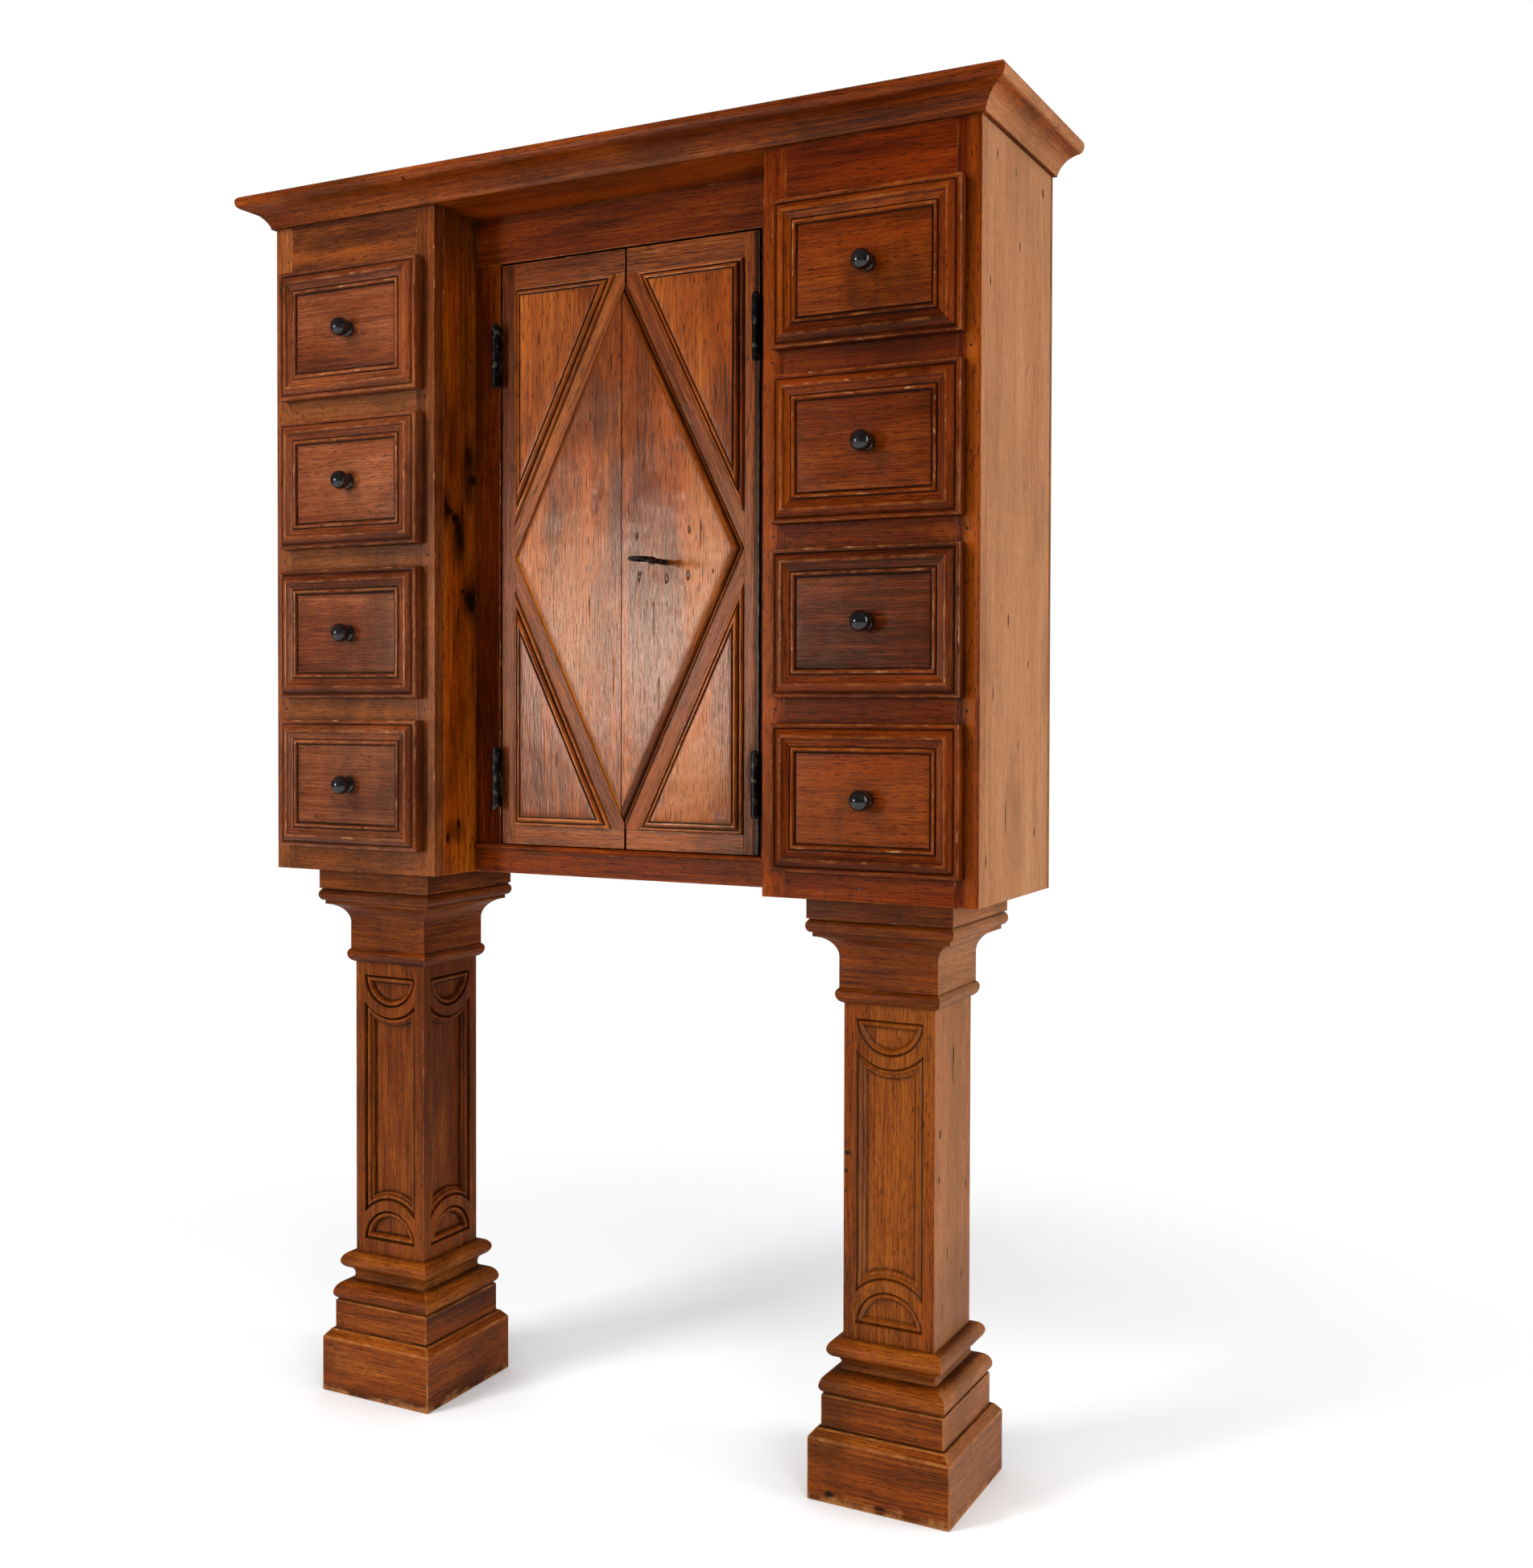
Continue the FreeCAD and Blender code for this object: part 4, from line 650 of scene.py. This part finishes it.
# A straight-sided outline cut into short steps, so that its mouldings can waver a little
def steppedShape(corners, still=()):
    spacing = 13
    count = len(corners)
    pairs = [(corners[k], corners[(k + 1) % count]) for k in range(count)]
    steps = [max(2, round(math.dist(first, second) / spacing)) for first, second in pairs]
    mitres = [sum(steps[:k]) for k in range(count)]

    def shape(width):
        moved = inset(corners, [0 if k in still else width for k in range(count)])
        points = []
        for k in range(count):
            (ax, ay), (bx, by) = moved[k], moved[(k + 1) % count]
            for q in range(steps[k]):
                points.append((ax + (bx - ax) * q / steps[k], ay + (by - ay) * q / steps[k]))
        return points
    return shape, mitres, [Vector((b[0] - a[0], 0, b[1] - a[1])) for a, b in pairs]


# Without a seed of its own, this noise would differ from run to run
noise.seed_set(7)


# Hand work is never quite straight. Points stay inside the box, and the back stays flat.
def waver(bm, amount, low, high, back):
    for vert in bm.verts:
        if vert.co.y < back:
            slow, quick = (noise.noise_vector(vert.co * pitch) for pitch in (24, 90))
            vert.co += slow * amount + quick * amount * 0.3
            vert.co = [min(max(c, first), last) for c, first, last in zip(vert.co, low, high)]


# Legs: plinths, bases and capitals from the CAD, shafts with carved faces
shaft = dict(half=68.5, foot=220.5, tall=469.3, arris=1.1, moonHigh=449, moonLow=22, moon=50.5,
             panelHalf=50.5, arc=66, arcSteps=36, chordSteps=8, sideSteps=24)
carvings = {
    "left_leg_shaft": dict(
        sides=(0, 1),
        moon=[(0, 0, 0.5), (0.5, -2.5, 0), (1.2, -5.0, -0.8), (2.2, -5.4, -0.95), (3.0, -3.2, -0.2),
              (4.4, -1.6, 0.4), (6.2, -1.0, 0.7), (8.0, -1.5, 0.4), (9.6, -3.0, 0), (10.6, -5.2, -0.3),
              (11.2, -7.4, -0.6), (12.2, -9.0, -0.9), (14.5, -9.6, -0.3), (17, -9.8, 0)],
        panel=[(0, 0, 0.5), (0.5, -3.0, 0), (1.2, -5.5, -0.8), (2.2, -6.0, -0.95), (3.0, -4.0, -0.2),
               (4.4, -2.8, 0.4), (6.4, -2.4, 0.6), (8.4, -3.2, 0.1), (9.4, -5.0, -0.4), (10.0, -6.4, -0.8),
               (11.2, -6.8, -0.3), (12.6, -7.2, 0.3), (13.4, -9.4, -0.3), (14.0, -12.0, -0.8),
               (15.5, -13.0, -0.7), (18, -13.0, 0)]),
    "right_leg_shaft": dict(
        sides=(0, 3),
        moon=[(0, 0, 0.1), (0.8, -2.2, -0.3), (1.8, -3.8, -0.6), (2.8, -3.0, -0.3), (4.2, -1.0, 0.1),
              (6.0, -0.3, 0.5), (7.8, -1.1, 0.3), (9.2, -3.4, 0), (10.2, -5.4, -0.5), (11.4, -6.2, -0.6),
              (14, -5.9, -0.3), (18, -5.8, 0)],
        panel=[(0, 0, 0.1), (0.8, -2.4, -0.3), (1.8, -4.0, -0.6), (2.8, -3.2, -0.3), (4.0, -1.6, 0.1),
               (5.6, -1.1, 0.4), (7.0, -2.2, 0), (8.0, -4.2, -0.5), (9.0, -4.9, -0.4), (12.0, -5.2, 0),
               (12.8, -6.4, -0.3), (13.6, -7.8, -0.6), (15.0, -8.4, -0.7), (18, -7.9, -0.35), (26, -7.6, 0)]),
}


# A half moon whose straight edge is at the level, opening up (way 1) or down (way -1)
def moonShape(level, way):
    def shape(width):
        radius = shaft["moon"] - width
        start = math.asin(width / radius)
        steps = shaft["arcSteps"]
        points = []
        for k in range(steps + 1):
            turned = start + (math.pi - 2 * start) * k / steps
            points.append((radius * math.cos(turned), level + way * radius * math.sin(turned)))
        across = radius * math.cos(start)
        chord = shaft["chordSteps"]
        points += [(across * (2 * q / chord - 1), level + way * width) for q in range(1, chord)]
        return points
    return shape, (0, shaft["arcSteps"])


# The long panel between two half moons, its ends hollowed round them
def panelShape(width):
    radius, half = shaft["arc"] + width, shaft["panelHalf"] - width
    swing = math.asin(half / radius)
    steps = shaft["arcSteps"]
    turns = [-swing + 2 * swing * k / steps for k in range(steps + 1)]
    low = [(radius * math.sin(a), shaft["moonLow"] + radius * math.cos(a)) for a in turns]
    high = [(radius * math.sin(a), shaft["moonHigh"] - radius * math.cos(a)) for a in reversed(turns)]
    sides = shaft["sideSteps"]

    def between(first, second):
        return [(first[0], first[1] + (second[1] - first[1]) * k / sides) for k in range(1, sides)]
    return low + between(low[-1], high[0]) + high + between(high[-1], low[0])


firstSide = shaft["arcSteps"] + shaft["sideSteps"]
panelMitres = (0, shaft["arcSteps"], firstSide, firstSide + shaft["arcSteps"])


# The ground around the carving is a little dull, and the arrises are rubbed
groundTone, arrisTone = -0.32, 0.9


def carvedShaft(node):
    carving = carvings[node]
    low, high = (np.array(corner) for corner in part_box(node))
    centre = (low + high) / 2 / mm
    flat = shaft["half"] - shaft["arris"]
    rows = 36
    bm = newMesh()
    toneLayer = bm.loops.layers.float["tone"]
    columns = []
    # Front, right, back and left
    for index, (dx, dy) in enumerate([(1, 0), (0, 1), (-1, 0), (0, -1)]):
        def place(u, v, w):
            out = shaft["half"] + w
            x = centre[0] + u * dx + out * dy
            y = centre[1] + u * dy - out * dx
            return (x * mm, y * mm, (shaft["foot"] + v) * mm)
        edges = []
        pair = [[bm.verts.new(place(u, shaft["tall"] * r / rows, 0)) for r in range(rows + 1)]
                for u in (-flat, flat)]
        columns.append(pair)
        if index not in carving["sides"]:
            for r in range(rows):
                bm.faces.new((pair[0][r], pair[1][r], pair[1][r + 1], pair[0][r + 1]))
            continue
        for column in pair:
            edges += [bm.edges.new(ends) for ends in zip(column, column[1:])]
        edges += [bm.edges.new((pair[0][r], pair[1][r])) for r in (0, -1)]
        holes = [(*moonShape(shaft["moonHigh"], -1), carving["moon"]),
                 (*moonShape(shaft["moonLow"], 1), carving["moon"]),
                 (panelShape, panelMitres, carving["panel"])]
        for shape, mitres, profile in holes:
            outer, inner = layRings(bm, shape, mitres, profile, place)
            bm.faces.new(inner)
            edges += [bm.edges.get(ends) for ends in zip(outer, outer[1:] + outer[:1])]
        filled = bmesh.ops.triangle_fill(bm, use_beauty=True, use_dissolve=False, edges=edges)
        for face in filled["geom"]:
            if isinstance(face, bmesh.types.BMFace):
                for loop in face.loops:
                    loop[toneLayer] = groundTone
    for index, pair in enumerate(columns):
        following = columns[(index + 1) % 4]
        for r in range(rows):
            face = bm.faces.new((pair[1][r], following[0][r], following[0][r + 1], pair[1][r + 1]))
            for loop in face.loops:
                loop[toneLayer] = arrisTone
    for level in (0, -1):
        ring = [column[level] for pair in columns for column in pair]
        bm.faces.new(ring if level else ring[::-1])
    bmesh.ops.recalc_face_normals(bm, faces=bm.faces)
    addGrain(bm, low, high, "z", random.Random(node), paintedSidelightOf.get(node, 0))
    waver(bm, 0.25 * mm, low, high, 1)
    joinParts("look_" + node, [bm], walnut["shaft"], nodeBody[node], (node,))


for leg in ("left_leg", "right_leg"):
    dress(leg + "_plinth", walnut["foot"], 4.6, "wrap")
    dress(leg + "_base", walnut["foot"], 1.2, "wrap")
    dress(leg + "_capital", walnut["leg"], 1.0, "wrap")
    carvedShaft(leg + "_shaft")
print("legs done")


# Drawer fronts: a rim bead, a wide ovolo and two beads step down to the field
drawerProfile = [
    (0, 3.6, 0.2), (0.5, 5.6, 0.7), (1.8, 6.9, 0.9), (3.6, 7.3, 0.4), (5.4, 6.9, 0), (6.4, 5.9, -0.5),
    (7.0, 5.2, -0.95), (7.8, 5.4, -0.6), (8.4, 7.0, 0), (10.0, 8.9, 0.1), (12.2, 10.8, 0.2),
    (14.6, 12.2, 0.4), (17.0, 12.7, 0.8), (19.2, 12.5, 0.6), (20.3, 11.8, 0.2),
    (20.8, 10.9, -0.7), (21.6, 10.7, -0.5), (23.0, 10.2, 0), (25.5, 9.2, 0.1), (28.0, 8.5, 0.1),
    (29.4, 8.2, -0.3), (29.9, 7.2, -0.95), (30.8, 7.2, -0.8), (31.3, 8.9, 0), (32.6, 10.0, 0.9),
    (34.6, 10.2, 0.8), (36.2, 9.4, 0.1), (37.0, 7.9, -0.4), (37.5, 6.0, -1.0), (38.9, 5.7, -1.0),
    (39.6, 6.8, -0.4), (43, 7, -0.3), (49, 7, -0.12), (54, 7, 0)]
drawerCrest, drawerFieldRings = 13, 4
drawerLooks = {"r1": "front", "r2": "front", "r3": "frontDark", "r4": "front"}


def drawerFront(name):
    node = "drawer_" + name + "_front"
    low, high = (np.array(corner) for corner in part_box(node))
    (left, front, foot), (right, back, head) = low / mm, high / mm
    board = front + drawerCrest

    def place(u, v, w):
        return (u * mm, (board - w) * mm, v * mm)
    shape, mitres, ways = steppedShape([(left, foot), (right, foot), (right, head), (left, head)])
    bm = newMesh()
    profile = [(0, board - back, 0)] + drawerProfile
    outer, inner = layRings(bm, shape, mitres, profile, place, len(profile) - drawerFieldRings)
    bm.faces.new(inner)
    bm.faces.new(outer[::-1])
    bmesh.ops.recalc_face_normals(bm, faces=bm.faces)
    waver(bm, 0.32 * mm, low, high, high[1] - 1e-5)
    addGrain(bm, low, high, "x", random.Random(node), ways=ways)
    joinParts("look_" + node, [bm], walnut[drawerLooks.get(name, "frontPink")],
              nodeBody[node], (node,))


for name in ("l1", "l2", "l3", "l4", "r1", "r2", "r3", "r4"):
    drawerFront(name)
    dress("drawer_" + name + "_box", walnut["inside"], 0.8)
    dress("drawer_" + name + "_knob", ebony, 0.5)
print("drawers done")


# Doors: the corner panels have two beads around them, the lozenge a bead and a hollow
frameFace, panelFieldRings, seamReach = -18.6, 2, 3
cornerProfile = [
    (0, -0.6, -0.8), (0.3, 1.6, -0.3), (1.1, 3.2, -0.1), (2.4, 4.2, 0.4), (3.8, 4.5, 0.5), (5.0, 4.1, 0),
    (5.8, 3.0, -0.4), (6.2, 1.6, -0.95), (7.2, 1.6, -0.95), (7.5, 4.4, -0.5), (8.3, 6.9, -0.1),
    (9.8, 8.4, 0.1), (11.3, 8.9, 0.5), (12.7, 8.5, 0), (13.6, 7.2, -0.4), (14.0, 6.0, -1.0),
    (15.0, 6.0, -1.0), (15.4, 8.6, -0.6), (17.2, 9.0, -0.34), (23.0, 9.0, 0)]
lozengeProfile = [
    (0, -0.6, -0.95), (0.3, 1.4, -0.6), (1.0, 2.6, -0.2), (2.0, 3.0, 0.2), (2.9, 2.6, -0.3),
    (3.3, 1.5, -0.95), (4.8, 1.5, -1.0), (5.1, 4.0, -0.7), (5.8, 6.4, -0.4), (7.4, 8.3, -0.1),
    (9.2, 9.7, 0), (11.0, 10.7, 0.25), (12.4, 11.0, -0.5), (14.5, 11.0, -0.45), (24.0, 11.0, 0)]


# The outline of a solid's back face, anticlockwise, in millimetres
def outlineOf(points):
    back = points[:, 1].max()
    flat = sorted({(round(p[0] / mm, 3), round(p[2] / mm, 3)) for p in points if p[1] > back - 1e-5})

    def chain(sequence):
        kept = []
        for point in sequence:
            while len(kept) > 1:
                (ax, ay), (bx, by) = kept[-2], kept[-1]
                if (bx - ax) * (point[1] - ay) - (by - ay) * (point[0] - ax) > 1e-2:
                    break
                kept.pop()
            kept.append(point)
        return kept[:-1]
    return chain(flat) + chain(flat[::-1])


def panelled(node, seam):
    parts = []
    for index, (points, faces) in enumerate(solidsOf(node)):
        low, high = points.min(axis=0), points.max(axis=0)
        outline = outlineOf(points)
        count = len(outline)
        still = [k for k in range(count)
                 if max(abs(outline[q % count][0] - seam) for q in (k, k + 1)) < seamReach]
        profile = lozengeProfile if still else cornerProfile
        back = high[1] / mm

        def place(u, v, w):
            return (u * mm, (frameFace - w) * mm, v * mm)
        shape, mitres, ways = steppedShape(outline, still)
        bm = newMesh()
        outer, inner = layRings(bm, shape, mitres, [(0, frameFace - back, 0)] + profile, place,
                                len(profile) - panelFieldRings)
        bm.faces.new(inner)
        bm.faces.new(outer[::-1])
        bmesh.ops.recalc_face_normals(bm, faces=bm.faces)
        if not still:
            waver(bm, 0.25 * mm, low, high, high[1] - 1e-5)
        addGrain(bm, low, high, "z", random.Random(node + str(index)), ways=ways)
        parts.append(bm)
    joinParts("look_" + node, parts, walnut["doorPanel"], nodeBody[node], (node,))


# The stiles stand, the rails lie, and the two diagonal bands run up and down to the seam
for side, flip, seam in (("left", 1, -4.8), ("right", -1, -3.2)):
    up, down = Vector((197.7 * flip, 0, 394.5)), Vector((197.7 * flip, 0, -404))
    dress(side + "_door_frame", walnut["rightLeaf" if side == "right" else "leaf"], 0.9,
          axes=["z", "z", "x", "x", up, down])
    panelled(side + "_door_panels", seam)
for node in ("left_door_hinges", "right_door_hinges", "jamb_hinges", "lock_case", "lock_bolt",
             "door_key", "left_door_bolt", "bolt_staples"):
    dress(node, iron, 0.4)
print("doors done")


# Nails: domed heads in rows, set by a tree with the ends of the row as inputs
def makeNailTree():
    tree = bpy.data.node_groups.new("nail_row", "GeometryNodeTree")
    sockets = (("Start", "NodeSocketVector"), ("End", "NodeSocketVector"), ("Facing", "NodeSocketVector"),
               ("Count", "NodeSocketInt"), ("Radius", "NodeSocketFloat"), ("Rise", "NodeSocketFloat"),
               ("Seed", "NodeSocketInt"), ("Material", "NodeSocketMaterial"))
    for name, kind in sockets:
        tree.interface.new_socket(name, in_out="INPUT", socket_type=kind)
    tree.interface.new_socket("Geometry", in_out="OUTPUT", socket_type="NodeSocketGeometry")

    def node(kind, **settings):
        made = tree.nodes.new(kind)
        for key, value in settings.items():
            setattr(made, key, value)
        return made
    given = node("NodeGroupInput").outputs
    line = node("GeometryNodeMeshLine", mode="END_POINTS")
    head = node("GeometryNodeMeshUVSphere")
    flat = node("ShaderNodeMath", operation="DIVIDE")
    shape = node("ShaderNodeCombineXYZ")
    squeezed = node("GeometryNodeTransform")
    turn = node("FunctionNodeAlignRotationToVector", axis="Z")
    size = node("FunctionNodeRandomValue", data_type="FLOAT")
    stray = node("FunctionNodeRandomValue", data_type="FLOAT_VECTOR")
    moved = node("GeometryNodeSetPosition")
    placed = node("GeometryNodeInstanceOnPoints")
    real = node("GeometryNodeRealizeInstances")
    coloured = node("GeometryNodeSetMaterial")
    values = (
        (head, "Segments", 14), (head, "Rings", 8), (shape, "X", 1), (shape, "Y", 1), (size, 2, 0.8),
        (size, 3, 1.1), (stray, 0, (-0.003, 0, -0.003)), (stray, 1, (0.003, 0, 0.003)),
    )
    for owner, key, value in values:
        owner.inputs[key].default_value = value
    links = (
        (given["Count"], line, "Count"), (given["Start"], line, "Start Location"),
        (given["End"], line, "Offset"), (given["Radius"], head, "Radius"),
        (given["Rise"], flat, 0), (given["Radius"], flat, 1), (flat.outputs[0], shape, "Z"),
        (head.outputs["Mesh"], squeezed, "Geometry"), (shape.outputs[0], squeezed, "Scale"),
        (given["Facing"], turn, "Vector"), (given["Seed"], size, "Seed"),
        (given["Seed"], stray, "Seed"), (line.outputs["Mesh"], moved, "Geometry"),
        (stray.outputs[0], moved, "Offset"), (moved.outputs["Geometry"], placed, "Points"),
        (squeezed.outputs["Geometry"], placed, "Instance"), (turn.outputs[0], placed, "Rotation"),
        (size.outputs[1], placed, "Scale"), (placed.outputs["Instances"], real, "Geometry"),
        (real.outputs["Geometry"], coloured, "Geometry"), (given["Material"], coloured, "Material"),
        (coloured.outputs["Geometry"], node("NodeGroupOutput"), "Geometry"),
    )
    for source, target, key in links:
        tree.links.new(source, target.inputs[key])
    return tree


# Each row: first and last nail in millimetres, which way the heads face, how many, radius, rise
backFace, stileFace = 170.4, -119.6
nailRows = (
    [((-565, backFace, level), (565, backFace, level), (0, 1, 0), 14, 3.4, 1.0)
     for level in (862, 1170, 1510, 1838)]
    + [((across, stileFace, 1099), (across, stileFace, 1563), (0, -1, 0), 3, 1.9, 0.5)
       for across in (-569, -293, 294, 570)]
    + [((-420 + 840 * side, stileFace, 864), (-380 + 840 * side, stileFace, 864), (0, -1, 0), 2, 1.8, 0.5)
       for side in (0, 1)]
)


def makeNails():
    tree = makeNailTree()
    keys = {item.name: item.identifier for item in tree.interface.items_tree if item.in_out == "INPUT"}
    parts = []
    for seed, (first, last, facing, count, radius, rise) in enumerate(nailRows):
        row = bpy.data.objects.new("nail_row", bpy.data.meshes.new("nail_row"))
        bpy.context.collection.objects.link(row)
        nail = row.modifiers.new("nails", "NODES")
        nail.node_group = tree
        values = {"Start": [c * mm for c in first], "End": [c * mm for c in last], "Facing": facing,
                  "Count": count, "Radius": radius * mm, "Rise": rise * mm, "Seed": seed, "Material": iron}
        for name, value in values.items():
            nail[keys[name]] = value
        graph = bpy.context.evaluated_depsgraph_get()
        made = bpy.data.meshes.new_from_object(row.evaluated_get(graph))
        row.modifiers.clear()
        bpy.data.objects.remove(row)
        bm = bmesh.new()
        bm.from_mesh(made)
        parts.append(bm)
        bpy.data.meshes.remove(made)
    joinParts("case_nails", parts, iron, "case")


makeNails()
print("nails done")


# Floor, light and camera. The floor keeps its shadow close to the object, deepened by a painted
# contact shadow where ambient occlusion dims its glow, and turns into the white backdrop further out, for the
# camera only.
floorGlow = 0.44
floorFade = (0.8, 1.8)


def makeFloor():
    reach = 14
    mesh = bpy.data.meshes.new("floor")
    mesh.from_pydata([(-reach, -reach, 0), (reach, -reach, 0), (reach, reach, 0), (-reach, reach, 0)],
                     [], [(0, 1, 2, 3)])
    floor = bpy.data.objects.new("floor", mesh)
    bpy.context.collection.objects.link(floor)
    t = Tree("floor_white")
    t.shader.inputs["Base Color"].default_value = (0.86, 0.86, 0.86, 1)
    t.shader.inputs["Roughness"].default_value = 0.6
    t.shader.inputs["Specular IOR Level"].default_value = 0.1
    seen = t.node("LightPath").outputs["Is Camera Ray"]
    away = t.node("VectorMath", operation="LENGTH")
    t.join(t.node("TexCoord").outputs["Object"], away.inputs[0])
    far = t.spread(away.outputs["Value"], *floorFade)
    soft = t.node("Emission")
    # Painted contact shadow: ambient occlusion dims the floor's glow close to the object
    contactShade = t.node("AmbientOcclusion", samples=8)
    contactShade.inputs["Distance"].default_value = 0.2
    glowInPaintedShadow = t.maths("MULTIPLY", t.maths("POWER", contactShade.outputs["AO"], 1.3), floorGlow)
    t.put(t.maths("MULTIPLY", seen, glowInPaintedShadow), soft.inputs["Strength"])
    lit = t.node("AddShader")
    t.join(t.shader.outputs[0], lit.inputs[0])
    t.join(soft.outputs[0], lit.inputs[1])
    white = t.node("Emission")
    total = t.node("MixShader")
    t.put(t.maths("MULTIPLY", far, seen), total.inputs[0])
    t.join(lit.outputs[0], total.inputs[1])
    t.join(white.outputs[0], total.inputs[2])
    t.join(total.outputs[0], t.tree.nodes["Material Output"].inputs["Surface"])
    mesh.materials.append(t.material)


def makeWorld():
    world = bpy.data.worlds.new("studio")
    bpy.context.scene.world = world
    world.use_nodes = True
    tree = world.node_tree
    seen = tree.nodes.new("ShaderNodeLightPath")
    shade = tree.nodes.new("ShaderNodeMix")
    shade.data_type = "RGBA"
    shade.inputs["A"].default_value = (0.12, 0.12, 0.125, 1)
    shade.inputs["B"].default_value = (1.0, 1.0, 1.0, 1)
    tree.links.new(seen.outputs["Is Camera Ray"], shade.inputs["Factor"])
    tree.links.new(shade.outputs["Result"], tree.nodes["Background"].inputs["Color"])


# Area lights: place and aim in metres, width and height, power in watts. Only the window and
# the side light show as a gloss on the wood.
lights = {
    "window": dict(at=(-1.78, -3.1, 1.3), aim=(0, 0, 1.2), size=(0.5, 0.75), power=34, gloss=True),
    "key": dict(at=(-1.8, -2.5, 3.7), aim=(0, 0, 1.1), size=(1.1, 1.1), power=86, gloss=False),
    "fill": dict(at=(2.7, -2.5, 1.6), aim=(0, 0, 1.1), size=(1.0, 1.4), power=31, gloss=False),
    "side": dict(at=(3.4, 0.5, 1.8), aim=(0.3, 0, 1.1), size=(1.4, 2.2), power=58, gloss=True),
    "over": dict(at=(0.6, -1.0, 4.4), aim=(0.1, 0, 1.0), size=(2.4, 1.8), power=36, gloss=False),
}


def makeLights():
    for name, look in lights.items():
        data = bpy.data.lights.new(name, "AREA")
        data.shape = "RECTANGLE"
        data.size, data.size_y = look["size"]
        data.energy = look["power"]
        lamp = bpy.data.objects.new(name, data)
        lamp.location = look["at"]
        lamp.visible_glossy = look["gloss"]
        way = Vector(look["aim"]) - Vector(look["at"])
        lamp.rotation_euler = way.to_track_quat("-Z", "Y").to_euler()
        bpy.context.collection.objects.link(lamp)


# The camera as solved from the photo: place in metres, turn in degrees
cameraLook = dict(at=(1.32137, -2.12953, 1.10209), yaw=26.89, pitch=-1.04, roll=0.16,
                  lens=38.525, shift=(-0.0079, -0.0298))


def makeCamera():
    data = bpy.data.cameras.new("camera")
    data.sensor_width = 36
    data.lens = cameraLook["lens"]
    data.shift_x, data.shift_y = cameraLook["shift"]
    camera = bpy.data.objects.new("camera", data)
    camera.location = cameraLook["at"]
    yaw, pitch, roll = (math.radians(cameraLook[key]) for key in ("yaw", "pitch", "roll"))
    camera.rotation_euler = (math.pi / 2 + pitch, 0, yaw)
    camera.rotation_euler.rotate_axis("Z", roll)
    bpy.context.collection.objects.link(camera)
    bpy.context.scene.camera = camera


makeFloor()
makeWorld()
makeLights()
makeCamera()
bpy.context.scene.view_settings.view_transform = "Standard"
print("stage done")
